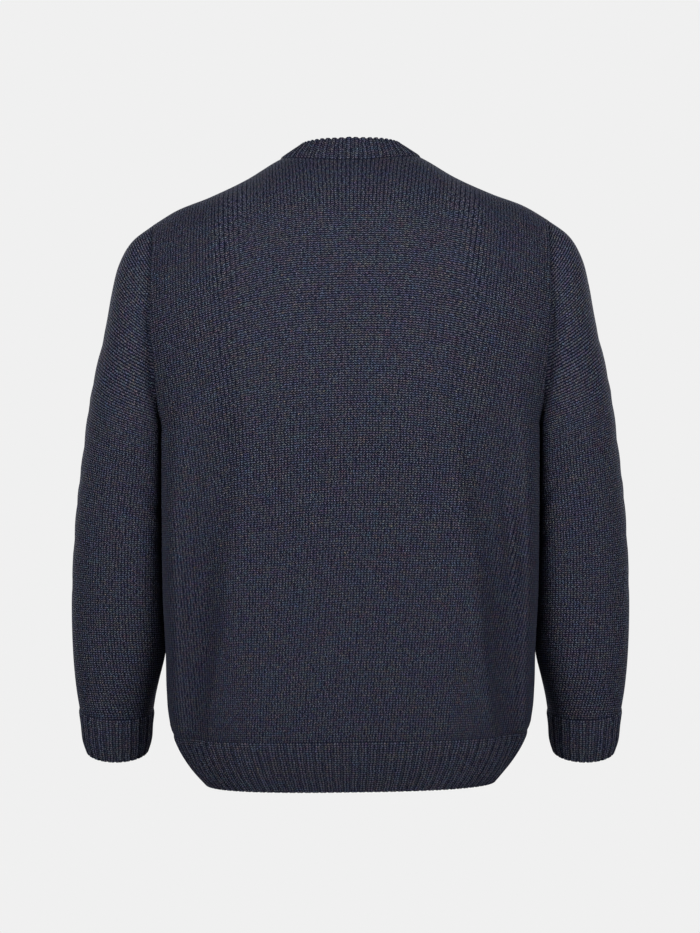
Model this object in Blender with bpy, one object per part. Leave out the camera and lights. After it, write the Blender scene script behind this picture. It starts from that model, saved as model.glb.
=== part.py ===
"""Guernsey fisherman sweater: knitted panels linked together, filled out as worn with the arms down.

Metres, +Z up. The front faces -Y and the back faces +Y. The origin lies midway between the neck ends
of the two shoulder seams, where the wearer's shoulders carry the garment.

Each knitted piece is a wall. Rows of outer points come from short tables of named sizes, and the inner
points lie one wall thickness inside them. Neighbouring pieces share their seam points and the wall
direction there, and each keeps half of the seam gap.
"""

import math
from collections import namedtuple

import bmesh
import bpy
import numpy as np

# Cloth
WALL = 0.0026
RIB_WALL = 0.0030
SEAM_GAP = 0.0003

# Levels up the body
HEM_BOTTOM = -0.707
HEM_TOP = -0.650
UNDERARM = -0.303
YOKE = -0.186

# Shoulder, neck and armhole
ARMHOLE_HALF_DEPTH = 0.052
ARMHOLE_X = 0.224
SHOULDER_SEAM_Y = -0.008
NECK_HALF_WIDTH = 0.080
NECK_EDGE_Y = {"back": 0.062, "front": -0.093}
FLATNESS_ACROSS_YOKE = 0.85
SIDE_OPENS_FROM = -0.325

# Above the underarm the armhole takes cloth from the side. The columns nearer the middle than this
# share of the half width keep straight up.
KEPT_STRAIGHT = 0.20

# The wearer's -X shoulder sits a little higher: rise of the cloth for each metre towards -X.
LEAN = 0.0130
SLEEVE_LEAN_STARTS = -0.320
SLEEVE_LEAN_ENDS = -0.600

# The outer section of the body at each level. The section is a superellipse of this squareness.
TorsoLevel = namedtuple("TorsoLevel", "z half_width back_depth front_depth squareness")
TORSO_LEVELS = (
    TorsoLevel(-0.707, 0.1630, 0.1120, 0.1100, 2.7),
    TorsoLevel(-0.691, 0.1780, 0.1205, 0.1180, 2.7),
    TorsoLevel(-0.672, 0.1905, 0.1270, 0.1240, 2.7),
    TorsoLevel(-0.650, 0.2005, 0.1320, 0.1295, 2.7),
    TorsoLevel(-0.630, 0.2060, 0.1350, 0.1325, 2.7),
    TorsoLevel(-0.600, 0.2088, 0.1370, 0.1350, 2.6),
    TorsoLevel(-0.560, 0.2098, 0.1375, 0.1365, 2.6),
    TorsoLevel(-0.500, 0.2130, 0.1375, 0.1370, 2.6),
    TorsoLevel(-0.400, 0.2145, 0.1370, 0.1370, 2.6),
    TorsoLevel(-0.303, 0.2160, 0.1355, 0.1350, 2.5),
    TorsoLevel(-0.240, 0.2195, 0.1340, 0.1320, 2.5),
    TorsoLevel(-0.186, 0.2240, 0.1310, 0.1280, 2.5),
)

# The ridge of the shoulder, out from the neck. Inside the neck it is the height the ridge would have.
ShoulderPoint = namedtuple("ShoulderPoint", "x z")
SHOULDER_LINE = (
    ShoulderPoint(0.000, 0.0220),
    ShoulderPoint(0.040, 0.0170),
    ShoulderPoint(0.080, 0.0020),
    ShoulderPoint(0.118, -0.0205),
    ShoulderPoint(0.160, -0.0400),
    ShoulderPoint(0.201, -0.0562),
    ShoulderPoint(0.224, -0.0700),
)

# How full the cloth is between the yoke level and the shoulder ridge: 2 is an ellipse, less is flatter.
Fullness = namedtuple("Fullness", "at_neck at_armhole")
SHOULDER_FULLNESS = {"back": Fullness(2.0, 2.0), "front": Fullness(1.6, 2.0)}

# Long soft troughs in the body, each from a top to a bottom point.
Trough = namedtuple("Trough", "panel top_x bottom_x top_z bottom_z top_depth bottom_depth half_width")
TROUGHS = (
    Trough("back", 0.148, 0.163, -0.200, -0.640, 0.0020, 0.0115, 0.026),
    Trough("back", -0.138, -0.160, -0.200, -0.640, 0.0025, 0.0105, 0.028),
    Trough("front", 0.142, 0.158, -0.210, -0.640, 0.0025, 0.0100, 0.028),
    Trough("front", -0.146, -0.164, -0.230, -0.640, 0.0020, 0.0110, 0.026),
)
TROUGH_FADE_IN = 0.20
TROUGHS_END_FROM_SIDE_SEAM = 0.060

# Sleeve and cuff rings on the +X side. Outer and inner are the ring's two ends seen from the back.
Ring = namedtuple("Ring", "outer_x outer_z inner_x inner_z half_depth centre_y tilt_deg")
SLEEVE_RINGS = (
    Ring(0.2490, -0.0900, 0.2140, -0.3105, 0.0565, -0.002, 0),
    Ring(0.2640, -0.1160, 0.2110, -0.3190, 0.0590, -0.003, 0),
    Ring(0.2720, -0.1470, 0.2090, -0.3290, 0.0605, -0.004, 0),
    Ring(0.2790, -0.1850, 0.2080, -0.3420, 0.0615, -0.005, 1),
    Ring(0.2894, -0.2290, 0.2070, -0.3610, 0.0620, -0.006, 2),
    Ring(0.2990, -0.2740, 0.2060, -0.3870, 0.0615, -0.008, 3),
    Ring(0.3050, -0.3220, 0.2055, -0.4180, 0.0605, -0.010, 4),
    Ring(0.3118, -0.3710, 0.2055, -0.4530, 0.0595, -0.013, 5),
    Ring(0.3163, -0.4210, 0.2060, -0.4900, 0.0580, -0.017, 7),
    Ring(0.3193, -0.4700, 0.2070, -0.5260, 0.0560, -0.022, 9),
    Ring(0.3205, -0.5180, 0.2110, -0.5600, 0.0530, -0.028, 11),
    Ring(0.3197, -0.5630, 0.2195, -0.5920, 0.0490, -0.035, 13),
    Ring(0.3172, -0.6000, 0.2247, -0.6130, 0.0445, -0.042, 14),
    Ring(0.3135, -0.6280, 0.2280, -0.6310, 0.0410, -0.048, 14),
)
CUFF_RINGS = (
    SLEEVE_RINGS[-1],
    Ring(0.3113, -0.6460, 0.2303, -0.6480, 0.0395, -0.051, 14),
    Ring(0.3098, -0.6640, 0.2315, -0.6650, 0.0375, -0.054, 14),
    Ring(0.3062, -0.6790, 0.2350, -0.6795, 0.0340, -0.057, 14),
)
SLEEVE_CLEARANCE = 0.0012
SLEEVE_REST_SOFTNESS = 0.004

# The neck rib leans in and rises from the neckline. From its sides to its middle, front and back, the
# lean and rise change with this power of how squarely the neckline faces front or back.
Stand = namedtuple("Stand", "lean rise")
NECK_STAND = {"back": Stand(0.010, 0.026), "side": Stand(0.024, 0.014), "front": Stand(0.017, 0.024)}
NECK_STAND_BLEND = 1.5
NECK_RIB_BULGE = 0.0008

# Raised knit wales of the ribs. Relief is given at each column of one repeat.
RIB_RELIEF = 0.0015
TWO_BY_ONE = (0.0, 1.0, 1.0)
ONE_BY_ONE = (0.0, 1.0)
HEM_RIBS_PER_PANEL = 54
CUFF_RIBS = 24

# Mesh rows and columns
LEG_LEVELS = (HEM_TOP, -0.632, -0.604, -0.550, -0.465, -0.375, UNDERARM)
HEM_LEVELS = (HEM_BOTTOM, -0.692, -0.674, HEM_TOP)
ARMHOLE_STEPS = 6
SHOULDER_STEPS = 8
SHOULDER_COLUMNS = 8
COLUMN_CROWDING = 1.3
NECK_COLUMNS = {"back": 10, "front": 12}
COLLAR_COLUMNS_PER_STEP = 5
COLLAR_STEPS = 3
CURVE_SAMPLES = 96
SHARP_ANGLE = math.radians(50)

SIDE = {"back": 1.0, "front": -1.0}
WOOL_ROUGHNESS = 0.95
COLOURS = {"knit": (0.040, 0.043, 0.066, 1.0), "rib": (0.036, 0.038, 0.058, 1.0)}


def table_value(table, key_name, field, key):
    """One column of a table at any key, along a smooth curve through its rows."""
    keys = np.array([getattr(row, key_name) for row in table])
    values = np.array([getattr(row, field) for row in table])
    slopes = np.gradient(values, keys)
    i = int(np.clip(np.searchsorted(keys, key) - 1, 0, len(keys) - 2))
    span = keys[i + 1] - keys[i]
    t = float(np.clip((key - keys[i]) / span, 0.0, 1.0))
    start = (1 + 2 * t) * (1 - t) ** 2 * values[i] + t * (1 - t) ** 2 * span * slopes[i]
    end = t * t * (3 - 2 * t) * values[i + 1] + t * t * (t - 1) * span * slopes[i + 1]
    return start + end


def ease(t):
    """0 to 1, flat at both ends."""
    t = min(max(t, 0.0), 1.0)
    return t * t * (3 - 2 * t)


def shoulder_height(x):
    return table_value(SHOULDER_LINE, "x", "z", abs(x))


def armhole_edge_y(z):
    """How far the armhole's lower half reaches from the side seam, at level z."""
    if z <= UNDERARM:
        return 0.0
    rise = (YOKE - z) / (YOKE - UNDERARM)
    return ARMHOLE_HALF_DEPTH * math.sqrt(max(0.0, 1 - rise * rise))


def trough_depth(panel, x, y, z):
    """How far the soft troughs draw the panel in at one place. They die out before the side seam."""
    total = 0.0
    for trough in TROUGHS:
        if trough.panel != panel:
            continue
        down = (trough.top_z - z) / (trough.top_z - trough.bottom_z)
        along = min(max(down, 0.0), 1.0)
        middle = trough.top_x + (trough.bottom_x - trough.top_x) * along
        depth = trough.top_depth + (trough.bottom_depth - trough.top_depth) * along
        fade = ease(down / TROUGH_FADE_IN + 1) * ease((z - HEM_BOTTOM) / (trough.bottom_z - HEM_BOTTOM))
        total += depth * fade * math.exp(-(((x - middle) / trough.half_width) ** 2))
    return total * ease(y / TROUGHS_END_FROM_SIDE_SEAM)


def section_curve(panel, z):
    """The outer section from the centre line to the panel's +X edge: distances, x and y of its points."""
    width = table_value(TORSO_LEVELS, "z", "half_width", z)
    depth = table_value(TORSO_LEVELS, "z", panel + "_depth", z)
    power = 2 / table_value(TORSO_LEVELS, "z", "squareness", z)
    edge_y = armhole_edge_y(z)
    openness = ease((z - SIDE_OPENS_FROM) / (YOKE - SIDE_OPENS_FROM))
    reach = math.acos((edge_y / depth) ** (1 / power))
    share = np.linspace(0.0, 1.0, CURVE_SAMPLES)
    closed_x = width * (np.sin(share * reach) / math.sin(reach)) ** power
    closed_y = depth * np.maximum(np.cos(share * reach), 0.0) ** power
    open_x = width * share
    fall = np.maximum(np.cos(share * math.pi / 2), 0.0) ** FLATNESS_ACROSS_YOKE
    open_y = edge_y + (depth - edge_y) * fall
    x = closed_x + (open_x - closed_x) * openness
    y = closed_y + (open_y - closed_y) * openness
    distance = np.concatenate(([0.0], np.cumsum(np.hypot(np.diff(x), np.diff(y)))))
    return distance, x, y


def half_cloth(panel, z):
    """Width of cloth from the centre line to the panel's edge at level z, along the section."""
    return section_curve(panel, z)[0][-1]


def cloth_distance(share, panel, z):
    """Distance along the section, from the centre line, of the column at this share of the half width."""
    whole = half_cloth(panel, z)
    if z <= UNDERARM:
        return share * whole
    widest = half_cloth(panel, UNDERARM)
    return share * widest - (widest - whole) * max(0.0, (share - KEPT_STRAIGHT) / (1 - KEPT_STRAIGHT)) ** 2


def section_points(panel, z, shares):
    """Points of the section at signed shares of the half width of cloth, troughs included."""
    distance, xs, ys = section_curve(panel, z)
    points = []
    for share in shares:
        reach = cloth_distance(abs(share), panel, z)
        x = math.copysign(np.interp(reach, distance, xs), share)
        y = np.interp(reach, distance, ys)
        points.append((x, SIDE[panel] * (y - trough_depth(panel, x, y, z)), z))
    return np.array(points)


def column_shares(panel, ends):
    """The share of the half width at which each column starts, so that it goes straight up to its end."""
    distance, xs, _ = section_curve(panel, YOKE)
    shares = np.linspace(0.0, 1.0, CURVE_SAMPLES)
    reaches = [cloth_distance(share, panel, YOKE) for share in shares]
    return [math.copysign(np.interp(np.interp(abs(x), xs, distance), reaches, shares), x) for x, _ in ends]


def body_half_width(y, z):
    """Half width of the body's outside at one depth and level, to rest the sleeve against."""
    panel = "back" if y >= 0 else "front"
    _, xs, ys = section_curve(panel, z)
    return float(np.interp(abs(y), ys[::-1], xs[::-1]))


def column_ends(panel):
    """Where each column of a panel ends at the top: (x, neckline angle or None on the shoulder)."""
    left_over = [(1 - i / SHOULDER_COLUMNS) ** COLUMN_CROWDING for i in range(1, SHOULDER_COLUMNS + 1)]
    shoulder = [ARMHOLE_X - (ARMHOLE_X - NECK_HALF_WIDTH) * share for share in left_over]
    steps = NECK_COLUMNS[panel]
    angles = [math.pi * (i / steps - 0.5) for i in range(1, steps)]
    left = [(-x, None) for x in reversed(shoulder)] + [(-NECK_HALF_WIDTH, None)]
    middle = [(NECK_HALF_WIDTH * math.sin(angle), angle) for angle in angles]
    right = [(NECK_HALF_WIDTH, None)] + [(x, None) for x in shoulder]
    return left + middle + right


def shoulder_arch(panel, start, neck_angle):
    """Points of one column from the yoke level over to the shoulder seam, or to the neckline."""
    x = start[0]
    outward = (abs(x) - NECK_HALF_WIDTH) / (ARMHOLE_X - NECK_HALF_WIDTH)
    fullness = SHOULDER_FULLNESS[panel]
    full = fullness.at_neck + (fullness.at_armhole - fullness.at_neck) * ease(outward)
    reach = start[1] - SHOULDER_SEAM_Y
    last = math.pi / 2
    if neck_angle is not None:
        edge = (NECK_EDGE_Y[panel] - SHOULDER_SEAM_Y) * math.cos(neck_angle)
        last = math.acos((edge / reach) ** (full / 2))
    points = []
    for i in range(1, SHOULDER_STEPS + 1):
        angle = last * i / SHOULDER_STEPS
        y = SHOULDER_SEAM_Y + reach * max(math.cos(angle), 0.0) ** (2 / full)
        z = YOKE + (shoulder_height(x) - YOKE) * math.sin(angle) ** (2 / full)
        points.append((x, y, z))
    return points


def panel_points(panel):
    """Outer points of the front or back, rows from the hem rib up and columns from -X to +X."""
    ends = column_ends(panel)
    shares = column_shares(panel, ends)
    turns = [math.pi / 2 * i / ARMHOLE_STEPS for i in range(1, ARMHOLE_STEPS + 1)]
    levels = list(LEG_LEVELS) + [YOKE - (YOKE - UNDERARM) * math.cos(turn) for turn in turns]
    rows = [section_points(panel, z, shares) for z in levels]
    arches = [shoulder_arch(panel, start, angle) for start, (_, angle) in zip(rows[-1], ends)]
    rows += [np.array(row) for row in zip(*arches)]
    return np.array(rows)


def ring_points(ring, angles):
    """Points round a sleeve or cuff ring. Angle 0 is its outer end and a quarter turn is its back."""
    outer = np.array((ring.outer_x, 0.0, ring.outer_z))
    inner = np.array((ring.inner_x, 0.0, ring.inner_z))
    tilt = math.radians(ring.tilt_deg)
    back = ring.half_depth * np.array((0.0, math.cos(tilt), -math.sin(tilt)))
    middle = (outer + inner) / 2 + np.array((0.0, ring.centre_y, 0.0))
    return np.array([middle + (outer - inner) / 2 * math.cos(a) + back * math.sin(a) for a in angles])


def rest_on_body(points):
    """Moves sleeve points below the yoke that would reach the body out to rest just clear of it."""
    moved = points.copy()
    for point in moved:
        if point[2] < YOKE:
            least = body_half_width(point[1], point[2]) + SLEEVE_CLEARANCE
            apart = point[0] - least
            point[0] = least + (apart + math.hypot(apart, SLEEVE_REST_SOFTNESS)) / 2
    return moved


def sleeve_points(armhole):
    """Outer points of the +X sleeve: rows from the armhole to the cuff, columns round from the top."""
    half = ARMHOLE_STEPS + SHOULDER_STEPS
    quarter = math.pi / 2
    down = [quarter * i / SHOULDER_STEPS for i in range(SHOULDER_STEPS)]
    down += [quarter * (1 + i / ARMHOLE_STEPS) for i in range(ARMHOLE_STEPS + 1)]
    angles = down + [2 * math.pi - down[i] for i in range(half - 1, 0, -1)]
    rows = [armhole] + [rest_on_body(ring_points(ring, angles)) for ring in SLEEVE_RINGS[:-1]]
    return np.array(rows + [ring_points(SLEEVE_RINGS[-1], angles)])


def unit(vectors):
    return vectors / np.maximum(np.linalg.norm(vectors, axis=-1, keepdims=True), 1e-12)


def wall_directions(points, closed):
    """Outward direction of the wall at each point of a grid. Closed grids run round in their columns."""
    if closed:
        across = np.roll(points, -1, axis=1) - np.roll(points, 1, axis=1)
    else:
        across = np.gradient(points, axis=1)
    along = np.gradient(points, axis=0)
    return unit(np.cross(along, across))


def fold_directions(first, second, edge):
    """Wall direction midway through the fold where two pieces meet, at each point of a closed seam.

    The first piece lies on the left of the seam, seen from outside along it.
    """
    tangent = unit(np.roll(edge, -1, axis=0) - np.roll(edge, 1, axis=0))
    into_first = unit(np.cross(first, tangent))
    into_second = -unit(np.cross(second, tangent))
    bend = np.sum(into_first * second + into_second * first, axis=-1, keepdims=True)
    return unit(first + second + np.sign(bend) * (into_first + into_second))


def shift_edge(edge, neighbours, directions, closed=False):
    """Moves a seam edge half the seam gap back into its own piece, square to the seam and the wall."""
    if closed:
        tangent = np.roll(edge, -1, axis=0) - np.roll(edge, 1, axis=0)
    else:
        tangent = np.gradient(edge, axis=0)
    square = unit(np.cross(directions, unit(tangent)))
    inward = np.sign(np.sum(square * (neighbours - edge), axis=-1, keepdims=True))
    return square * inward * SEAM_GAP / 2


def shift_in_stretches(edge, neighbours, directions, corners):
    """The same for an edge with sharp corners. A corner is moved back from both of its stretches."""
    moved = np.zeros_like(edge)
    stops = [0, *corners, len(edge) - 1]
    for first, last in zip(stops, stops[1:]):
        part = slice(first, last + 1)
        moved[part] += shift_edge(edge[part], neighbours[part], directions[part])
    return moved


def wool(name, kind):
    """Matt worsted wool for one piece: the knit of the panels, or the slightly darker rib."""
    made = bpy.data.materials.new(name + "_wool")
    made.use_nodes = True
    shader = made.node_tree.nodes["Principled BSDF"]
    shader.inputs["Base Color"].default_value = COLOURS[kind]
    shader.inputs["Roughness"].default_value = WOOL_ROUGHNESS
    shader.inputs["Metallic"].default_value = 0.0
    made.diffuse_color = COLOURS[kind]
    return made


def add_object(name, mesh, kind):
    mesh.materials.append(wool(name, kind))
    mesh.shade_smooth()
    mesh.set_sharp_from_angle(angle=SHARP_ANGLE)
    bpy.context.scene.collection.objects.link(bpy.data.objects.new(name, mesh))


def add_wall(name, outer, inner, closed, kind):
    """A closed wall between a grid of outer points and a grid of inner points of as many rows.

    The outer grid may have several columns for each column of the inner one.
    """
    shape = bmesh.new()
    out = [[shape.verts.new(p) for p in row] for row in outer]
    ins = [[shape.verts.new(p) for p in row] for row in inner]
    rows, columns, coarse = len(out), len(out[0]), len(ins[0])
    spans, coarse_spans = (columns, coarse) if closed else (columns - 1, coarse - 1)
    step = spans // coarse_spans
    for grid, count, size in ((out, spans, columns), (ins, coarse_spans, coarse)):
        for r in range(rows - 1):
            for c in range(count):
                d = (c + 1) % size
                shape.faces.new((grid[r][c], grid[r][d], grid[r + 1][d], grid[r + 1][c]))
    for r in (0, rows - 1):
        for c in range(coarse_spans):
            rim = [out[r][(c * step + i) % columns] for i in range(step + 1)]
            shape.faces.new(rim + [ins[r][(c + 1) % coarse], ins[r][c]])
    if not closed:
        for c in (0, -1):
            for r in range(rows - 1):
                shape.faces.new((out[r][c], out[r + 1][c], ins[r + 1][c], ins[r][c]))
    bmesh.ops.recalc_face_normals(shape, faces=shape.faces)
    mesh = bpy.data.meshes.new(name)
    shape.to_mesh(mesh)
    shape.free()
    add_object(name, mesh, kind)


def mirrored(points):
    return points * np.array((-1.0, 1.0, 1.0))


def leaned(points, side=1, sleeve=False):
    """Lets the cloth settle with its +X side lower. On a sleeve this fades out down the arm.

    A sleeve on the -X side is still its mirror image here, so it rises instead.
    """
    weight = 1.0
    if sleeve:
        weight = (points[..., 2] - SLEEVE_LEAN_ENDS) / (SLEEVE_LEAN_STARTS - SLEEVE_LEAN_ENDS)
        weight = np.clip(weight, 0.0, 1.0)
        weight = weight * weight * (3 - 2 * weight)
    made = points.copy()
    made[..., 2] -= LEAN * side * weight * points[..., 0]
    return made


def armhole_indices(rows):
    """Rows of a panel's edge from the shoulder tip down to the underarm."""
    return range(rows - 1, len(LEG_LEVELS) - 2, -1)


def armhole_loop(back, front, column):
    """Seam values round an armhole: down the back edge from the tip, then up the front edge."""
    down = [back[r, column] for r in armhole_indices(len(back))]
    up = [front[r, column] for r in armhole_indices(len(front))][::-1]
    return np.array(down + up[1:-1])


def share_directions(first, second, *places):
    """Gives both pieces the mean wall direction at seam places, each a pair of grid indices."""
    for one, other in places:
        mean = unit(first[one] + second[other])
        first[one] = mean
        second[other] = mean


def neckline_loop(back, front):
    """Seam values round the neckline from the -X neck point over the back, then the front."""
    first = SHOULDER_COLUMNS
    over_back = list(back[-1, first : first + NECK_COLUMNS["back"] + 1])
    over_front = list(front[-1, first : first + NECK_COLUMNS["front"] + 1])[::-1]
    return np.array(over_back + over_front[1:-1])


def smooth_loop(points, step):
    """A closed smooth curve through the points, with this many steps from each to the next."""
    made = []
    count = len(points)
    for i in range(count):
        a, b, c, d = (points[(i + k) % count] for k in (-1, 0, 1, 2))
        for k in range(step):
            t = k / step
            bend = (2 * a - 5 * b + 4 * c - d) * t + (3 * b - a - 3 * c + d) * t * t
            made.append(b + 0.5 * t * (c - a + bend))
    return np.array(made)


def straight_loop(points, step):
    """The closed chain of straight steps through the points, divided evenly."""
    following = np.roll(points, -1, axis=0)
    shares = [k / step for k in range(step)]
    return np.array([p + (q - p) * t for p, q in zip(points, following) for t in shares])


def neck_stand(point):
    """The step from a neckline point to the top edge of the neck rib."""
    away = np.array((point[0], point[1] - SHOULDER_SEAM_Y, 0.0))
    facing = unit(away)
    end = NECK_STAND["back"] if away[1] > 0 else NECK_STAND["front"]
    blend = abs(facing[1]) ** NECK_STAND_BLEND
    lean = NECK_STAND["side"].lean + (end.lean - NECK_STAND["side"].lean) * blend
    rise = NECK_STAND["side"].rise + (end.rise - NECK_STAND["side"].rise) * blend
    return -facing * lean + np.array((0.0, 0.0, rise))


def make_neck_rib(neckline, panel_directions):
    """The collar: one ring of 1x1 rib, picked up from the neckline and standing on it."""
    step = COLLAR_COLUMNS_PER_STEP
    top = neckline + np.array([neck_stand(p) for p in neckline])
    rows = []
    for i in range(COLLAR_STEPS + 1):
        share = i / COLLAR_STEPS
        bulge = unit(neckline * np.array((1.0, 1.0, 0.0))) * NECK_RIB_BULGE * math.sin(math.pi * share)
        rows.append(neckline + (top - neckline) * share + bulge)
    rows = np.array(rows)
    own = wall_directions(rows, closed=True)
    seam = unit(own[0] + panel_directions)
    own[0] = seam
    rows[0] += shift_edge(rows[0], rows[1], seam, closed=True)
    inner = rows - own * RIB_WALL
    fine = [straight_loop(rows[0], step)] + [smooth_loop(row, step) for row in rows[1:]]
    fine_directions = [straight_loop(own[0], step)] + [smooth_loop(row, step) for row in own[1:]]
    relief = rib_relief(len(fine[0]), ONE_BY_ONE)
    outer = np.array(fine) + unit(np.array(fine_directions)) * relief
    add_wall("neck_rib", leaned(outer), leaned(inner), True, "rib")
    return seam


def rib_relief(columns, pattern):
    """Height of the raised wales at each column of a rib, as a column for adding to points."""
    heights = [pattern[c % len(pattern)] for c in range(columns)]
    return RIB_RELIEF * np.array(heights)[:, None]


def make_hem_rib(panel):
    """The rib below one panel, drawn in towards its cast-off edge."""
    count = HEM_RIBS_PER_PANEL * len(TWO_BY_ONE)
    shares = [2 * c / count - 1 for c in range(count + 1)]
    rows = np.array([section_points(panel, z, shares) for z in HEM_LEVELS])
    directions = wall_directions(rows, closed=False) * SIDE[panel]
    directions[:, :, 2] *= np.array([0.0, 1.0, 1.0, 0.0])[:, None]
    directions[:, [0, -1], 1] = 0.0
    directions = unit(directions)
    rows[-1, :, 2] -= SEAM_GAP / 2
    rows[:, [0, -1], 1] += SIDE[panel] * SEAM_GAP / 2
    coarse = slice(None, None, 2 * len(TWO_BY_ONE))
    inner = rows[:, coarse] - directions[:, coarse] * RIB_WALL
    outer = rows + directions * rib_relief(count + 1, TWO_BY_ONE)
    add_wall(panel + "_hem_rib", leaned(outer), leaned(inner), False, "rib")


def make_cuff(name, side):
    """The cuff rib below one sleeve."""
    count = CUFF_RIBS * len(TWO_BY_ONE)
    angles = [2 * math.pi * c / count for c in range(count)]
    rows = np.array([ring_points(ring, angles) for ring in CUFF_RINGS])
    directions = wall_directions(rows, closed=True)
    flat = flatten_to_ring(directions, rows)
    directions[[0, -1]] = flat[[0, -1]]
    rows[0] += shift_edge(rows[0], rows[1], directions[0], closed=True)
    inner = (rows - directions * RIB_WALL)[:, :: len(TWO_BY_ONE)]
    outer = rows + directions * rib_relief(count, TWO_BY_ONE)
    make_sided(name, outer, inner, side, "rib")


def make_sided(name, outer, inner, side, kind):
    """A tube on the +X side, or its mirror image for a negative side."""
    if side < 0:
        outer, inner = mirrored(outer), mirrored(inner)
    add_wall(name, outer, inner, True, kind)


def flatten_to_ring(directions, rows):
    """Wall directions laid into the plane of each ring, so that its end is cut square."""
    made = directions.copy()
    for i, row in enumerate(rows):
        normal = unit(np.cross(row[len(row) // 4] - row[0], row[len(row) // 2] - row[0]))
        made[i] -= np.outer(made[i] @ normal, normal)
    return unit(made)


def body_grids():
    """Outer points and wall directions of the front and back, with the side and shoulder seams shared."""
    points = {panel: panel_points(panel) for panel in SIDE}
    out = {}
    for panel in SIDE:
        directions = wall_directions(points[panel], closed=False) * SIDE[panel]
        directions[0, :, 2] = 0.0
        out[panel] = unit(directions)
    top = len(points["back"]) - 1
    last_back, last_front = points["back"].shape[1] - 1, points["front"].shape[1] - 1
    for r in range(len(LEG_LEVELS)):
        share_directions(out["back"], out["front"], ((r, 0), (r, 0)), ((r, last_back), (r, last_front)))
    for c in range(SHOULDER_COLUMNS + 1):
        pairs = (((top, c), (top, c)), ((top, last_back - c), (top, last_front - c)))
        share_directions(out["back"], out["front"], *pairs)
    return points, out


def join_sleeve(points, out, column, side):
    """Outer points and wall directions of one sleeve, as on the +X side, set into its armhole."""
    armhole = armhole_loop(points["back"], points["front"], column)
    body_directions = armhole_loop(out["back"], out["front"], column)
    if side < 0:
        armhole, body_directions = mirrored(armhole), mirrored(body_directions)
    rows = sleeve_points(armhole)
    own = wall_directions(rows, closed=True)
    seam = fold_directions(body_directions, own[0], armhole)
    own[0] = seam
    own[-1] = flatten_to_ring(own[-1:], rows[-1:])[0]
    rows[0] += shift_edge(rows[0], rows[1], seam, closed=True)
    rows[-1] += shift_edge(rows[-1], rows[-2], own[-1], closed=True)
    set_armhole_directions(out, column, mirrored(seam) if side < 0 else seam)
    return rows, own


def make_body_and_sleeves():
    points, out = body_grids()
    sleeves = {
        "left_sleeve": (join_sleeve(points, out, -1, 1), 1),
        "right_sleeve": (join_sleeve(points, out, 0, -1), -1),
    }
    neckline = neckline_loop(points["back"], points["front"])
    neck_seam = make_neck_rib(neckline, neckline_loop(out["back"], out["front"]))
    set_neck_directions(out, neck_seam)
    for panel in SIDE:
        make_panel(panel, points[panel], out[panel])
    for name, ((rows, own), side) in sleeves.items():
        outer, inner = leaned(rows, side, True), leaned(rows - own * WALL, side, True)
        make_sided(name, outer, inner, side, "knit")


def set_armhole_directions(out, column, seam):
    """Lays the armhole's seam directions back into the edges of the back and the front."""
    half = ARMHOLE_STEPS + SHOULDER_STEPS
    for i, r in enumerate(armhole_indices(len(out["back"]))):
        out["back"][r, column] = seam[i]
        out["front"][r, column] = seam[-i % (2 * half)]


def set_neck_directions(out, seam):
    """Lays the neckline's seam directions back into the top edges of the back and the front."""
    first = SHOULDER_COLUMNS
    count = NECK_COLUMNS["back"]
    out["back"][-1, first : first + count + 1] = seam[: count + 1]
    over_front = np.concatenate((seam[count:], seam[:1]))[::-1]
    out["front"][-1, first : first + NECK_COLUMNS["front"] + 1] = over_front


def make_panel(panel, points, directions):
    """One body panel, drawn half a seam gap back from each of its edges."""
    moved = points.copy()
    underarm = [len(LEG_LEVELS) - 1]
    neck_ends = [SHOULDER_COLUMNS, SHOULDER_COLUMNS + NECK_COLUMNS[panel]]
    for edge, beside in ((0, 1), (-1, -2)):
        column, inward = points[:, edge], points[:, beside]
        moved[:, edge] += shift_in_stretches(column, inward, directions[:, edge], underarm)
    moved[0] += shift_edge(points[0], points[1], directions[0])
    moved[-1] += shift_in_stretches(points[-1], points[-2], directions[-1], neck_ends)
    add_wall(panel, leaned(moved), leaned(moved - directions * WALL), False, "knit")


def main():
    for obj in list(bpy.data.objects):
        bpy.data.objects.remove(obj)
    make_body_and_sleeves()
    for panel in SIDE:
        make_hem_rib(panel)
    make_cuff("left_cuff", 1)
    make_cuff("right_cuff", -1)


main()
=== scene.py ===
"""Guernsey fisherman sweater, dressed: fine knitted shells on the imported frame, wool finishes and a studio.

Metres, +Z up. The front faces -Y and the back, which the camera sees, faces +Y. Each knitted piece is a
closed shell on the form of its solid, finer, with deeper troughs and fine creases. It has a UV map in
metres of cloth: u runs across the wales and v along them, so that every stitch has its real size.
"""

from __future__ import annotations

import functools
import logging
import math
from dataclasses import dataclass, field
from enum import Enum
from typing import ClassVar

import bmesh
import bpy
import numpy as np
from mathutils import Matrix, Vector

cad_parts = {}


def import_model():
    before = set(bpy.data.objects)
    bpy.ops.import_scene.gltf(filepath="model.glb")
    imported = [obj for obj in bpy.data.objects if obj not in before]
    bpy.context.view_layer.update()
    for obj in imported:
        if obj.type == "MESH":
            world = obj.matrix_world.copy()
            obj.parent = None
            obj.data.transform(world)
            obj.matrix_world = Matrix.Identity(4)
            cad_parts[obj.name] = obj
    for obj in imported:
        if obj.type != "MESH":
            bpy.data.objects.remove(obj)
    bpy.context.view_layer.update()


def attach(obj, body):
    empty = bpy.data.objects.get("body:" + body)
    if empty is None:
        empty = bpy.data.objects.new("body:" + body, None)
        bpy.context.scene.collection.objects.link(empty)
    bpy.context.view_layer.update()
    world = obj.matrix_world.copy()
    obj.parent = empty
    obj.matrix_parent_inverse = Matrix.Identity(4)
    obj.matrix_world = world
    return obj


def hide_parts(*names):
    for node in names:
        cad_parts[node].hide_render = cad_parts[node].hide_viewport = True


LOG = logging.getLogger("sweater")
Array = np.ndarray
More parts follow.
